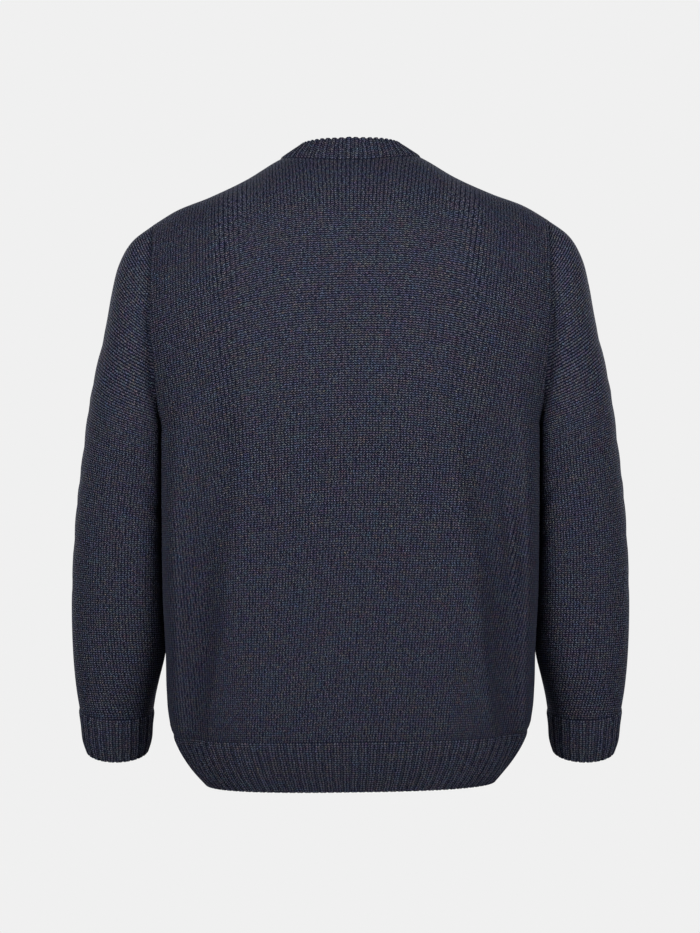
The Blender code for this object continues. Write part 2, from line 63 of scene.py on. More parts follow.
UV_NAME = "knit"
TINY = 1e-12


def ease(t: Array | float) -> Array:
    """0 to 1 for t from 0 to 1, flat at both ends."""
    t = np.clip(t, 0.0, 1.0)
    return t * t * (3 - 2 * t)


def unit(vectors: Array) -> Array:
    """The vectors at length 1."""
    return vectors / np.maximum(np.linalg.norm(vectors, axis=-1, keepdims=True), TINY)


def linear(code: str) -> tuple[float, float, float, float]:
    """Turns a colour to what a shader takes.

    Args:
        code: The colour as sRGB hex, such as "#2b2e40".

    Returns:
        Linear red, green, blue and an alpha of 1.
    """
    parts = [int(code[i : i + 2], 16) / 255 for i in (1, 3, 5)]
    made = [p / 12.92 if p <= 0.04045 else ((p + 0.055) / 1.055) ** 2.4 for p in parts]
    return made[0], made[1], made[2], 1.0


def wall_directions(points: Array, closed: bool) -> Array:
    """Gives the direction out of the cloth at each point of a grid.

    Args:
        points: Rows by columns by 3.
        closed: Whether the columns run round in a ring.

    Returns:
        Unit vectors, as many as the points.
    """
    if closed:
        across = np.roll(points, -1, axis=1) - np.roll(points, 1, axis=1)
    else:
        across = np.gradient(points, axis=1)
    return unit(np.cross(np.gradient(points, axis=0), across))


def fold_directions(first: Array, second: Array, edge: Array) -> Array:
    """Gives the wall direction midway through the fold where two pieces meet at a closed seam.

    Args:
        first: Directions of the piece on the left of the seam, seen from outside along it.
        second: Directions of the other piece.
        edge: The seam's points.

    Returns:
        One unit vector for each point of the seam.
    """
    tangent = unit(np.roll(edge, -1, axis=0) - np.roll(edge, 1, axis=0))
    into_first = unit(np.cross(first, tangent))
    into_second = -unit(np.cross(second, tangent))
    bend = np.sum(into_first * second + into_second * first, axis=-1, keepdims=True)
    return unit(first + second + np.sign(bend) * (into_first + into_second))


def steps_along(points: Array, axis: int) -> Array:
    """Gives the length of cloth from the first row or column of a grid to each point.

    Args:
        points: Rows by columns by 3.
        axis: 0 to go along the columns, 1 to go along the rows.

    Returns:
        The length at each point, along the grid.
    """
    steps = np.linalg.norm(np.diff(points, axis=axis), axis=-1)
    start = np.zeros_like(np.take(steps, [0], axis=axis))
    return np.concatenate((start, np.cumsum(steps, axis=axis)), axis=axis)


def curve(t: Array, first: Array, second: Array, slope: Array, next_slope: Array) -> Array:
    """Gives a cubic curve from one value to the next.

    Args:
        t: Places on it, from 0 to 1.
        first: The value at 0.
        second: The value at 1.
        slope: The slope at 0.
        next_slope: The slope at 1.

    Returns:
        The values at those places.
    """
    start = (1 + 2 * t) * (1 - t) ** 2 * first + t * (1 - t) ** 2 * slope
    end = t * t * (3 - 2 * t) * second + t * t * (t - 1) * next_slope
    return start + end


def refine(rows: Array, steps: int) -> Array:
    """Puts smooth rows between the rows of a grid.

    Args:
        rows: Rows by columns by 3.
        steps: Steps from each row to the next.

    Returns:
        The finer grid, which holds the given rows.
    """
    slopes = np.gradient(rows, axis=0)
    t = np.arange(steps)[:, None, None] / steps
    parts = [curve(t, rows[i], rows[i + 1], slopes[i], slopes[i + 1]) for i in range(len(rows) - 1)]
    return np.concatenate([*parts, rows[-1:]])


class Table:
    """Rows of named sizes, read along a smooth curve at any value of the first column."""

    def __init__(self, names: str, *rows: tuple[float, ...]) -> None:
        """Keeps the rows by the names of their columns.

        Args:
            names: The columns' names, with spaces between.
            rows: The rows, from the lowest value of the first column up.
        """
        grid = np.array(rows, dtype=float)
        self.keys = grid[:, 0]
        self.columns = dict(zip(names.split(), grid.T))

    def at(self, name: str, key: Array | float) -> Array:
        """Reads one column.

        Args:
            name: The column's name.
            key: Values of the first column.

        Returns:
            The column's value at each, held level past the ends.
        """
        values = self.columns[name]
        slopes = np.gradient(values, self.keys)
        i = np.clip(np.searchsorted(self.keys, key) - 1, 0, len(self.keys) - 2)
        span = self.keys[i + 1] - self.keys[i]
        t = np.clip((key - self.keys[i]) / span, 0.0, 1.0)
        return curve(t, values[i], values[i + 1], span * slopes[i], span * slopes[i + 1])


class Drift:
    """How far lines of stitches run aside on the body, from their angles at some places and levels."""

    step: ClassVar[float] = 0.004
    reach_x: ClassVar[float] = 0.264
    lowest: ClassVar[float] = -0.740
    highest: ClassVar[float] = 0.060
    # Keeps a place just inside the last cell of the grid.
    edge_cell: ClassVar[float] = 1.001

    def __init__(self, places: tuple[float, ...], *rows: tuple[float, ...]) -> None:
        """Lays the angles out on a fine grid.

        Args:
            places: The x of each column of angles.
            rows: A level and the angle at each place, in degrees, from the lowest level up.
        """
        table = np.array(rows)
        xs = np.arange(-self.reach_x, self.reach_x, self.step)
        zs = np.arange(self.lowest, self.highest, self.step)
        by_place = np.array([np.interp(zs, table[:, 0], column) for column in table[:, 1:].T])
        self.slopes = np.tan(np.radians([np.interp(xs, places, column) for column in by_place.T]))

    def along(self, axis: int, start: float, x: Array, z: Array) -> Array:
        """Adds the slopes up along one axis.

        Args:
            axis: 0 for the way up and 1 for the way across.
            start: The level or the x where the sum is 0.
            x: The places.
            z: Their levels.

        Returns:
            The sum at each place, in metres.
        """
        low = self.lowest if axis == 0 else -self.reach_x
        total = np.cumsum(self.slopes, axis=axis) * self.step
        total -= np.take(total, [round((start - low) / self.step)], axis=axis)
        rows, columns = total.shape
        row = np.clip((z - self.lowest) / self.step, 0, rows - self.edge_cell)
        column = np.clip((x + self.reach_x) / self.step, 0, columns - self.edge_cell)
        i, j = row.astype(int), column.astype(int)
        s, t = row - i, column - j
        below = total[i, j] * (1 - t) + total[i, j + 1] * t
        above = total[i + 1, j] * (1 - t) + total[i + 1, j + 1] * t
        return below * (1 - s) + above * s


class Panel(Enum):
    """The two body panels, with the side of the body that each covers."""

    BACK = 1.0
    FRONT = -1.0

    @property
    def word(self) -> str:
        """The panel's name in the frame."""
        return self.name.lower()


PURL_BANK = 0.62
FURROW_WIDTH = 0.20
FURROW_DEPTH = 0.34
VALLEY_LIFT = 0.25


class RibKind(Enum):
    """Height of each wale in one repeat of a rib: 0 is a purl wale and 1 a knit wale.

    A bank rises from each purl wale within PURL_BANK wales, and a furrow parts two knit wales. A piece's
    lift attribute is 1 on plain cloth and on a knit wale, and VALLEY_LIFT in a purl channel, where the finish
    paints shade.
    """

    ONE_BY_ONE = (0.0, 1.0)
    TWO_BY_ONE = (0.0, 1.0, 1.0)

    def lift(self, wales: Array) -> Array:
        """Gives the rounded profile of the rib.

        Args:
            wales: Places across the rib, counted in wales from a purl wale's middle.

        Returns:
            Height there, from 0 in a purl channel to 1 on a knit wale.
        """
        repeat = len(self.value)
        place = np.mod(wales, repeat)
        from_purl = np.minimum(place, repeat - place)
        bank = ease(from_purl / PURL_BANK)
        if self is RibKind.ONE_BY_ONE:
            return bank
        between = np.exp(-(((place - repeat / 2) / FURROW_WIDTH) ** 2))
        return bank * (1 - FURROW_DEPTH * between)


@dataclass(frozen=True)
class Gauge:
    """Sizes of the knit. A stockinette stitch is one wale wide and one course high."""

    wale: float = 0.0033
    course: float = 0.0026
    wall: float = 0.0026
    rib_wall: float = 0.0030
    rib_relief: float = 0.0015


@dataclass(frozen=True)
class Crease:
    """A soft uneven fold between two places on the cloth, drawn in, or pushed out at a negative depth.

    Places are (across, down) in metres: x and z on a body panel, and the way round from the outer line
    and minus the way down from the armhole on a sleeve. Skew makes the fold's +across flank gentler. Each
    fold fades in and out over shares of its length, and widens down it.
    """

    top: tuple[float, float]
    bottom: tuple[float, float]
    half_width: float
    depth: float
    skew: float = 0.0
    bow: float = 0.0
    fade_in: float = 0.30
    fade_out: float = 0.22
    width_at_top: float = 0.75
    widening: float = 0.50

    def draw(self, across: Array, down: Array) -> Array:
        """Gives how far the fold draws the cloth in.

        Args:
            across: Places across the cloth.
            down: Places down it.

        Returns:
            The depth at each place.
        """
        start, end = np.array(self.top), np.array(self.bottom)
        length = float(np.linalg.norm(end - start))
        along = (end - start) / length
        share = ((across - start[0]) * along[0] + (down - start[1]) * along[1]) / length
        side = (across - start[0]) * -along[1] + (down - start[1]) * along[0]
        inside = np.clip(share, 0.0, 1.0)
        side = side - self.bow * np.sin(math.pi * inside)
        spread = self.width_at_top + self.widening * inside
        width = self.half_width * np.where(side > 0, 1 + self.skew, 1 - self.skew) * spread
        fade = ease(share / self.fade_in) * ease((1 - share) / self.fade_out)
        return self.depth * fade * np.exp(-((side / width) ** 2))


BACK_CREASES = (
    Crease((0.113, -0.350), (0.143, -0.668), 0.0085, -0.0024, skew=0.3, bow=-0.003),
    Crease((0.158, -0.380), (0.163, -0.600), 0.0070, 0.0016, skew=0.2),
    Crease((-0.104, -0.300), (-0.156, -0.690), 0.0085, -0.0026, skew=-0.3, bow=-0.004),
    Crease((-0.163, -0.350), (-0.186, -0.520), 0.0075, 0.0030, skew=-0.2, bow=-0.003),
    Crease((-0.040, -0.420), (-0.012, -0.640), 0.0150, -0.0009, bow=0.005),
    Crease((0.062, -0.460), (0.070, -0.645), 0.0130, 0.0008, bow=-0.004),
    Crease((-0.088, -0.380), (-0.080, -0.600), 0.0140, 0.0007, bow=0.006),
    Crease((0.186, -0.330), (0.196, -0.500), 0.0090, -0.0010, bow=0.004),
    Crease((-0.186, -0.350), (-0.192, -0.480), 0.0090, -0.0009, bow=-0.004),
    Crease((0.205, -0.165), (0.160, -0.290), 0.0110, 0.0012, bow=0.006),
    Crease((-0.207, -0.160), (-0.158, -0.270), 0.0120, 0.0013, bow=-0.007),
)
FRONT_CREASES = (
    Crease((0.112, -0.340), (0.141, -0.665), 0.0090, -0.0022, skew=0.3, bow=0.003),
    Crease((0.159, -0.370), (0.163, -0.600), 0.0070, 0.0017, skew=0.2),
    Crease((-0.110, -0.320), (-0.147, -0.670), 0.0090, -0.0023, skew=-0.3, bow=-0.004),
    Crease((-0.162, -0.360), (-0.182, -0.520), 0.0075, 0.0024, skew=-0.2),
    Crease((0.030, -0.430), (0.010, -0.630), 0.0150, -0.0010, bow=-0.006),
    Crease((-0.058, -0.400), (-0.066, -0.640), 0.0140, 0.0009, bow=0.005),
    Crease((0.084, -0.390), (0.080, -0.560), 0.0130, 0.0007, bow=-0.004),
    Crease((0.204, -0.170), (0.150, -0.300), 0.0120, 0.0016, bow=0.008),
    Crease((-0.205, -0.175), (-0.148, -0.285), 0.0110, 0.0014, bow=-0.006),
)
SLEEVE_CREASES = (
    Crease((-0.080, -0.108), (0.085, -0.118), 0.0085, 0.0010, bow=0.004),
    Crease((-0.070, -0.150), (0.078, -0.139), 0.0080, 0.0009, bow=-0.003),
    Crease((-0.085, -0.181), (0.090, -0.170), 0.0095, 0.0012, bow=0.005),
    Crease((-0.060, -0.208), (0.070, -0.214), 0.0075, 0.0008, bow=0.003),
    Crease((-0.088, -0.243), (0.080, -0.236), 0.0090, 0.0011, bow=-0.004),
    Crease((-0.065, -0.276), (0.072, -0.268), 0.0080, 0.0009, bow=0.003),
    Crease((-0.075, -0.318), (0.060, -0.309), 0.0090, 0.0009, bow=0.004),
    Crease((-0.050, -0.366), (0.066, -0.356), 0.0085, 0.0006, bow=0.003),
    Crease((0.150, -0.330), (0.176, -0.378), 0.0042, 0.0024, skew=0.2, bow=0.004),
    Crease((-0.168, -0.300), (-0.184, -0.352), 0.0055, 0.0022, skew=-0.2, bow=-0.004),
    Crease((0.120, -0.150), (0.196, -0.205), 0.0080, 0.0020, bow=-0.006),
    Crease((-0.115, -0.160), (-0.196, -0.215), 0.0085, 0.0022, bow=0.007),
    Crease((0.128, -0.215), (0.190, -0.262), 0.0070, 0.0014, bow=0.005),
    Crease((-0.124, -0.232), (-0.186, -0.280), 0.0075, 0.0016, bow=-0.005),
)


# The place and width of a trough's inner bank, the depth below it, then the place and depth of the
# deepest line and the width of the rise beyond.
TROUGH_COLUMNS = "z edge bank shelf deepest depth rise"


@dataclass(frozen=True, eq=False)
class BodyShape:
    """The form of the body, its armholes and its shoulders.

    Its outline has the sizes of the solids, and its troughs are deeper than theirs.
    """

    hem_bottom: float = -0.707
    hem_top: float = -0.650
    underarm: float = -0.303
    yoke: float = -0.186
    armhole_half_depth: float = 0.052
    armhole_x: float = 0.224
    shoulder_seam_y: float = -0.008
    neck_half_width: float = 0.080
    neck_edge_y: dict[Panel, float] = field(
        default_factory=lambda: {Panel.BACK: 0.062, Panel.FRONT: -0.093}
    )
    flatness_across_yoke: float = 0.60
    side_opens_from: float = -0.325
    kept_straight: float = 0.20
    lean: float = 0.0130
    sleeve_lean_starts: float = -0.320
    sleeve_lean_ends: float = -0.600
    column_crowding: float = 1.3
    troughs_end_from_side_seam: float = 0.030
    curve_samples: int = 700
    spread_over_back: float = 0.95
    spread_ends: float = 0.22
    spread_blend: float = 0.30
    neck_stretch: float = 0.13
    neck_stretch_reach: float = 0.118
    # How many degrees the wales and the courses of the back turn clockwise from upright and from level,
    # as seen from behind, at places across and from low levels to high ones. The front mirrors them.
    slants_level_at: float = -0.430
    wale_slants: Drift = field(
        default_factory=lambda: Drift(
            (-0.183, -0.146, -0.110, -0.050, 0.050, 0.114, 0.151, 0.188),
            (-0.560, 18.0, 15.0, 7.0, 5.0, 3.2, 1.5, -5.0, -6.0),
            (-0.473, 13.0, 11.0, 5.5, 4.0, 3.0, 1.5, -4.5, -5.0),
            (-0.386, 8.0, 7.0, 4.0, 2.5, 1.0, -0.5, -4.5, -5.0),
            (-0.299, 8.0, 7.5, 4.0, 1.5, -0.5, -2.5, -5.0, -6.0),
            (-0.211, 8.0, 7.0, 4.5, 2.0, -0.5, -2.5, -5.0, -6.0),
            (-0.124, 6.0, 6.0, 4.5, 2.0, -1.0, -2.5, -4.0, -3.0),
        )
    )
    course_slants: Drift = field(
        default_factory=lambda: Drift(
            (-0.183, -0.146, -0.110, -0.050, 0.0, 0.050, 0.114, 0.151, 0.188),
            (-0.650, 0.0, 0.0, 0.0, 1.0, 0.0, -1.0, 0.0, 0.0, 0.0),
            (-0.560, 8.0, 3.0, 0.0, 3.0, -1.0, -5.0, -1.0, -12.0, -4.0),
            (-0.473, 12.0, 5.0, 0.0, 3.5, -1.0, -5.0, 0.0, -12.0, -6.0),
            (-0.386, 9.0, 7.0, 3.0, 2.5, -1.0, -4.0, -6.0, -13.0, -9.0),
            (-0.299, 9.0, 8.5, 8.0, 3.0, -1.0, -3.5, -8.0, -14.0, -11.0),
            (-0.211, 13.0, 11.5, 10.0, 3.0, -1.0, -3.0, -11.0, -16.0, -16.0),
            (-0.124, 14.0, 16.0, 9.0, 2.0, -1.0, -1.5, -13.0, -18.0, -16.0),
        )
    )
    # Where the cloth is pulled along its wales, at 1, the courses stand out, and where it is pulled across
    # them, at 0, the wales do. Beside the armholes pull_at_side changes it, low down and on the yoke.
    pull: Table = field(
        default_factory=lambda: Table(
            "z share",
            (-0.650, 0.12),
            (-0.604, 0.14),
            (-0.517, 0.20),
            (-0.430, 0.34),
            (-0.340, 0.50),
            (-0.255, 0.68),
            (-0.168, 0.84),
            (-0.120, 0.84),
            (-0.080, 0.78),
            (-0.055, 0.50),
            (-0.030, 0.10),
            (0.030, 0.00),
        )
    )
    pull_at_side: tuple[float, float] = (-0.25, -0.70)
    side_starts: float = 0.11
    side_blend: float = 0.06
    side_yoke_z: float = -0.170
    side_yoke_blend: float = 0.05
    levels: Table = field(
        default_factory=lambda: Table(
            "z half_width back_depth front_depth squareness",
            (-0.707, 0.1630, 0.1120, 0.1100, 2.7),
            (-0.691, 0.1780, 0.1205, 0.1180, 2.7),
            (-0.672, 0.1905, 0.1270, 0.1240, 2.7),
            (-0.650, 0.2005, 0.1320, 0.1295, 2.7),
            (-0.630, 0.2060, 0.1350, 0.1325, 2.7),
            (-0.600, 0.2088, 0.1370, 0.1350, 2.6),
            (-0.560, 0.2098, 0.1375, 0.1365, 2.6),
            (-0.500, 0.2130, 0.1375, 0.1370, 2.6),
            (-0.400, 0.2145, 0.1370, 0.1370, 2.6),
            (-0.303, 0.2160, 0.1355, 0.1350, 2.5),
            (-0.240, 0.2195, 0.1340, 0.1320, 2.5),
            (-0.186, 0.2240, 0.1310, 0.1280, 2.5),
        )
    )
    shoulder: Table = field(
        default_factory=lambda: Table(
            "x z",
            (0.000, 0.0220),
            (0.040, 0.0170),
            (0.080, 0.0020),
            (0.118, -0.0205),
            (0.160, -0.0400),
            (0.201, -0.0562),
            (0.224, -0.0700),
        )
    )
    # The long soft troughs: a bank at their inner edge, a shelf that sinks on to the deepest line, and a
    # short rise.
    troughs: dict[Panel, tuple[Table, ...]] = field(
        default_factory=lambda: {
            Panel.BACK: (
                Table(
                    TROUGH_COLUMNS,
                    (-0.707, 0.150, 0.014, 0.0000, 0.172, 0.0000, 0.018),
                    (-0.655, 0.154, 0.014, 0.0125, 0.172, 0.0140, 0.020),
                    (-0.600, 0.151, 0.015, 0.0185, 0.174, 0.0200, 0.021),
                    (-0.540, 0.139, 0.021, 0.0200, 0.174, 0.0225, 0.022),
                    (-0.450, 0.130, 0.028, 0.0165, 0.175, 0.0220, 0.022),
                    (-0.386, 0.119, 0.030, 0.0125, 0.175, 0.0195, 0.023),
                    (-0.320, 0.112, 0.034, 0.0105, 0.168, 0.0155, 0.027),
                    (-0.255, 0.116, 0.030, 0.0060, 0.154, 0.0075, 0.034),
                    (-0.170, 0.122, 0.026, 0.0000, 0.150, 0.0000, 0.032),
                ),
                Table(
                    TROUGH_COLUMNS,
                    (-0.707, -0.160, 0.012, 0.0055, -0.174, 0.0062, 0.016),
                    (-0.680, -0.161, 0.013, 0.0100, -0.176, 0.0115, 0.018),
                    (-0.650, -0.157, 0.013, 0.0160, -0.177, 0.0175, 0.019),
                    (-0.600, -0.149, 0.017, 0.0200, -0.177, 0.0215, 0.020),
                    (-0.540, -0.140, 0.026, 0.0205, -0.177, 0.0250, 0.021),
                    (-0.450, -0.134, 0.022, 0.0145, -0.178, 0.0240, 0.021),
                    (-0.386, -0.115, 0.032, 0.0125, -0.176, 0.0210, 0.022),
                    (-0.320, -0.109, 0.032, 0.0100, -0.172, 0.0165, 0.026),
                    (-0.255, -0.088, 0.040, 0.0055, -0.158, 0.0095, 0.034),
                    (-0.170, -0.088, 0.040, 0.0000, -0.150, 0.0000, 0.034),
                ),
            ),
            Panel.FRONT: (
                Table(
                    TROUGH_COLUMNS,
                    (-0.707, 0.152, 0.014, 0.0000, 0.172, 0.0000, 0.018),
                    (-0.650, 0.152, 0.017, 0.0120, 0.173, 0.0140, 0.020),
                    (-0.580, 0.142, 0.023, 0.0170, 0.174, 0.0205, 0.022),
                    (-0.480, 0.128, 0.029, 0.0155, 0.174, 0.0215, 0.022),
                    (-0.380, 0.117, 0.031, 0.0115, 0.172, 0.0170, 0.024),
                    (-0.290, 0.114, 0.034, 0.0060, 0.162, 0.0080, 0.028),
                    (-0.190, 0.118, 0.030, 0.0000, 0.150, 0.0000, 0.032),
                ),
                Table(
                    TROUGH_COLUMNS,
                    (-0.707, -0.156, 0.013, 0.0035, -0.173, 0.0040, 0.017),
                    (-0.655, -0.155, 0.015, 0.0130, -0.175, 0.0150, 0.019),
                    (-0.580, -0.145, 0.022, 0.0175, -0.175, 0.0205, 0.021),
                    (-0.480, -0.131, 0.026, 0.0150, -0.176, 0.0215, 0.021),
                    (-0.390, -0.119, 0.030, 0.0110, -0.174, 0.0165, 0.024),
                    (-0.300, -0.112, 0.034, 0.0060, -0.160, 0.0080, 0.028),
                    (-0.190, -0.112, 0.032, 0.0000, -0.148, 0.0000, 0.032),
                ),
            ),
        }
    )

    def armhole_edge_y(self, z: float) -> float:
        """Gives how far the armhole's lower half reaches from the side seam.

        Args:
            z: The level.

        Returns:
            The reach in metres.
        """
        if z <= self.underarm:
            return 0.0
        rise = (self.yoke - z) / (self.yoke - self.underarm)
        return self.armhole_half_depth * math.sqrt(max(0.0, 1 - rise * rise))

    def trough_depth(self, panel: Panel, x: Array, y: Array, z: float) -> Array:
        """Gives how far the long soft troughs draw a panel in.

        Args:
            panel: The body panel.
            x: The places across.
            y: How far each is from the side seam's plane.
            z: Their level.

        Returns:
            The depth at each place.
        """
        total = np.zeros_like(x)
        for trough in self.troughs[panel]:
            edge, deepest = trough.at("edge", z), trough.at("deepest", z)
            outward = (x - edge) * np.sign(edge)
            reach = abs(deepest - edge)
            shelf = trough.at("shelf", z)
            drop = shelf * ease(outward / trough.at("bank", z))
            drop += (trough.at("depth", z) - shelf) * ease(outward / reach)
            total += drop * (1 - ease((outward - reach) / trough.at("rise", z)))
        return total * ease(y / self.troughs_end_from_side_seam)

    @functools.lru_cache(maxsize=None)
    def section(self, panel: Panel, z: float) -> tuple[Array, Array, Array, Array]:
        """Gives the outer section from the centre line to a panel's +X edge.

        Args:
            panel: The body panel.
            z: The level.

        Returns:
            Distance along the cloth, x, y and the place across the wales of the section's points.
        """
        width = float(self.levels.at("half_width", z))
        depth = float(self.levels.at(panel.word + "_depth", z))
        power = 2 / float(self.levels.at("squareness", z))
        edge_y = self.armhole_edge_y(z)
        openness = ease((z - self.side_opens_from) / (self.yoke - self.side_opens_from))
        reach = math.acos((edge_y / depth) ** (1 / power))
        share = np.linspace(0.0, 1.0, self.curve_samples)
        closed_x = width * (np.sin(share * reach) / math.sin(reach)) ** power
        closed_y = depth * np.maximum(np.cos(share * reach), 0.0) ** power
        fall = np.maximum(np.cos(share * math.pi / 2), 0.0) ** self.flatness_across_yoke
        open_y = edge_y + (depth - edge_y) * fall
        x = closed_x + (width * share - closed_x) * openness
        y = closed_y + (open_y - closed_y) * openness
        steps = np.hypot(np.diff(x), np.diff(y))
        facing = np.diff(x) / np.maximum(steps, TINY)
        spread = self.spread_over_back * (1 - facing) * ease((facing - self.spread_ends) / self.spread_blend)
        distance = np.concatenate(([0.0], np.cumsum(steps)))
        return distance, x, y, np.concatenate(([0.0], np.cumsum(steps * (1 - spread))))

    def cloth_distance(self, share: Array, panel: Panel, z: float) -> Array:
        """Gives the distance of columns from the centre line, along the cloth.

        Args:
            share: Each column's share of the half width of cloth.
            panel: The body panel.
            z: The level.

        Returns:
            The distances. Above the underarm the outer columns are cut away and the others bend in.
        """
        whole = self.section(panel, z)[0][-1]
        if z <= self.underarm:
            return share * whole
        widest = self.section(panel, self.underarm)[0][-1]
        bent = np.maximum(0.0, (share - self.kept_straight) / (1 - self.kept_straight)) ** 2
        return share * widest - (widest - whole) * bent

    def section_points(self, panel: Panel, z: float, shares: Array) -> tuple[Array, Array]:
        """Gives a row of points at one level.

        Args:
            panel: The body panel.
            z: The level.
            shares: Signed shares of the half width of cloth.

        Returns:
            The points, and the signed place of each across the wales.
        """
        distance, xs, ys, us = self.section(panel, z)
        reach = self.cloth_distance(np.abs(shares), panel, z)
        x = np.copysign(np.interp(reach, distance, xs), shares)
        y = np.interp(reach, distance, ys)
        y = panel.value * (y - self.trough_depth(panel, x, y, z))
        u = np.copysign(np.interp(reach, distance, us), shares)
        return np.stack((x, y, np.full_like(x, z)), axis=-1), u

    def column_shares(self, panel: Panel, ends: Array) -> Array:
        """Gives the share at which each column starts, so that it goes straight up to its end.

        Args:
            panel: The body panel.
            ends: The x of each column on the shoulder or neckline.

        Returns:
            Signed shares of the half width of cloth.
        """
        distance, xs, _, _ = self.section(panel, self.yoke)
        shares = np.linspace(0.0, 1.0, self.curve_samples)
        reaches = self.cloth_distance(shares, panel, self.yoke)
        return np.copysign(np.interp(np.interp(np.abs(ends), xs, distance), reaches, shares), ends)

    def half_width_at(self, points: Array) -> Array:
        """Gives the half width of the body's outside beside each point.

        Args:
            points: The points.

        Returns:
            The half width at the depth and level of each.
        """
        made = []
        for y, z in zip(points[:, 1], points[:, 2]):
            _, xs, ys, _ = self.section(Panel.BACK if y >= 0 else Panel.FRONT, round(float(z), 3))
            made.append(np.interp(abs(y), ys[::-1], xs[::-1]))
        return np.array(made)

    def shoulder_cloth(self, x: Array) -> Array:
        """Gives places across the wales along the shoulder ridge, where the neck rib holds them stretched.

        Args:
            x: The x of each place.

        Returns:
            The signed place of each.
        """
        place = np.linspace(0.0, self.armhole_x, self.curve_samples)
        rise = np.diff(self.shoulder.at("z", place))
        held = 1 - self.neck_stretch * (1 - ease(place[1:] / self.neck_stretch_reach))
        length = np.concatenate(([0.0], np.cumsum(np.hypot(np.diff(place), rise) * held)))
        return np.copysign(np.interp(np.abs(x), place, length), x)

    def leaned(self, points: Array, side: int = 1, sleeve: bool = False) -> Array:
        """Lets the cloth settle with its +X side lower, which fades out down a sleeve.

        Args:
            points: The points, still mirrored to the +X side where they are a -X sleeve's.
            side: 1, or -1 for such a sleeve, which rises instead.
            sleeve: Whether the points are a sleeve's.

        Returns:
            The moved points.
        """
        weight: Array | float = 1.0
        if sleeve:
            span = self.sleeve_lean_starts - self.sleeve_lean_ends
            weight = ease((points[..., 2] - self.sleeve_lean_ends) / span)
        made = points.copy()
        made[..., 2] -= self.lean * side * weight * points[..., 0]
        return made

    def pulled(self, x: Array, z: Array) -> Array:
        """Gives how far the cloth is pulled along its wales.

        Args:
            x: Places across, without their sign.
            z: Their levels.

        Returns:
            The pull at each, from 0 to 1.
        """
        low, high = self.pull_at_side
        loss = low + (high - low) * ease((z - self.side_yoke_z) / self.side_yoke_blend)
        aside = ease((x - self.side_starts) / self.side_blend)
        return np.clip(self.pull.at("share", z) + loss * aside, 0.0, 1.0)


@dataclass
class Knit:
    """One knitted piece before it is a mesh.

    It has a grid of outer and of inner points, and at each the place on the cloth, the distance to the
    seam, the height on a rib and how far the cloth is pulled along its wales.
    """

    outer: Array
    inner: Array
    uv: Array
    seam: Array
    lift: Array
    pull: Array
    closed: bool

    def area(self) -> float:
        """Adds up the area of the outer face.

        Returns:
            Square metres.
        """
        grid = np.concatenate((self.outer, self.outer[:, :1]), axis=1) if self.closed else self.outer
        one, other = grid[1:, 1:] - grid[:-1, :-1], grid[1:, :-1] - grid[:-1, 1:]
        return float(np.linalg.norm(np.cross(one, other), axis=-1).sum() / 2)


class Shader:
    """The node tree of one material."""

    def __init__(self, name: str) -> None:
        """Starts an empty material.

        Args:
            name: The material's name.
        """
        self.material = bpy.data.materials.new(name)
        self.material.use_nodes = True
        self.material.node_tree.nodes.clear()

    def add(self, kind: str, inputs: dict | None = None, **settings: object) -> bpy.types.Node:
        """Adds a node.

        Args:
            kind: The node's type, without the words ShaderNode.
            inputs: A number, a colour, a node or an output for each input, by name or place.
            settings: The node's own settings.

        Returns:
            The node.
        """
        node = self.material.node_tree.nodes.new("ShaderNode" + kind)
        for name, value in settings.items():
            setattr(node, name, value)
        for place, value in (inputs or {}).items():
            if isinstance(value, bpy.types.Node):
                value = value.outputs[0]
            if isinstance(value, bpy.types.NodeSocket):
                self.material.node_tree.links.new(value, node.inputs[place])
            else:
                node.inputs[place].default_value = value
        return node


class Face(Enum):
    """Which side of the fabric a finish draws."""

    STOCKINETTE = "stockinette"
    REVERSE = "reverse stockinette"


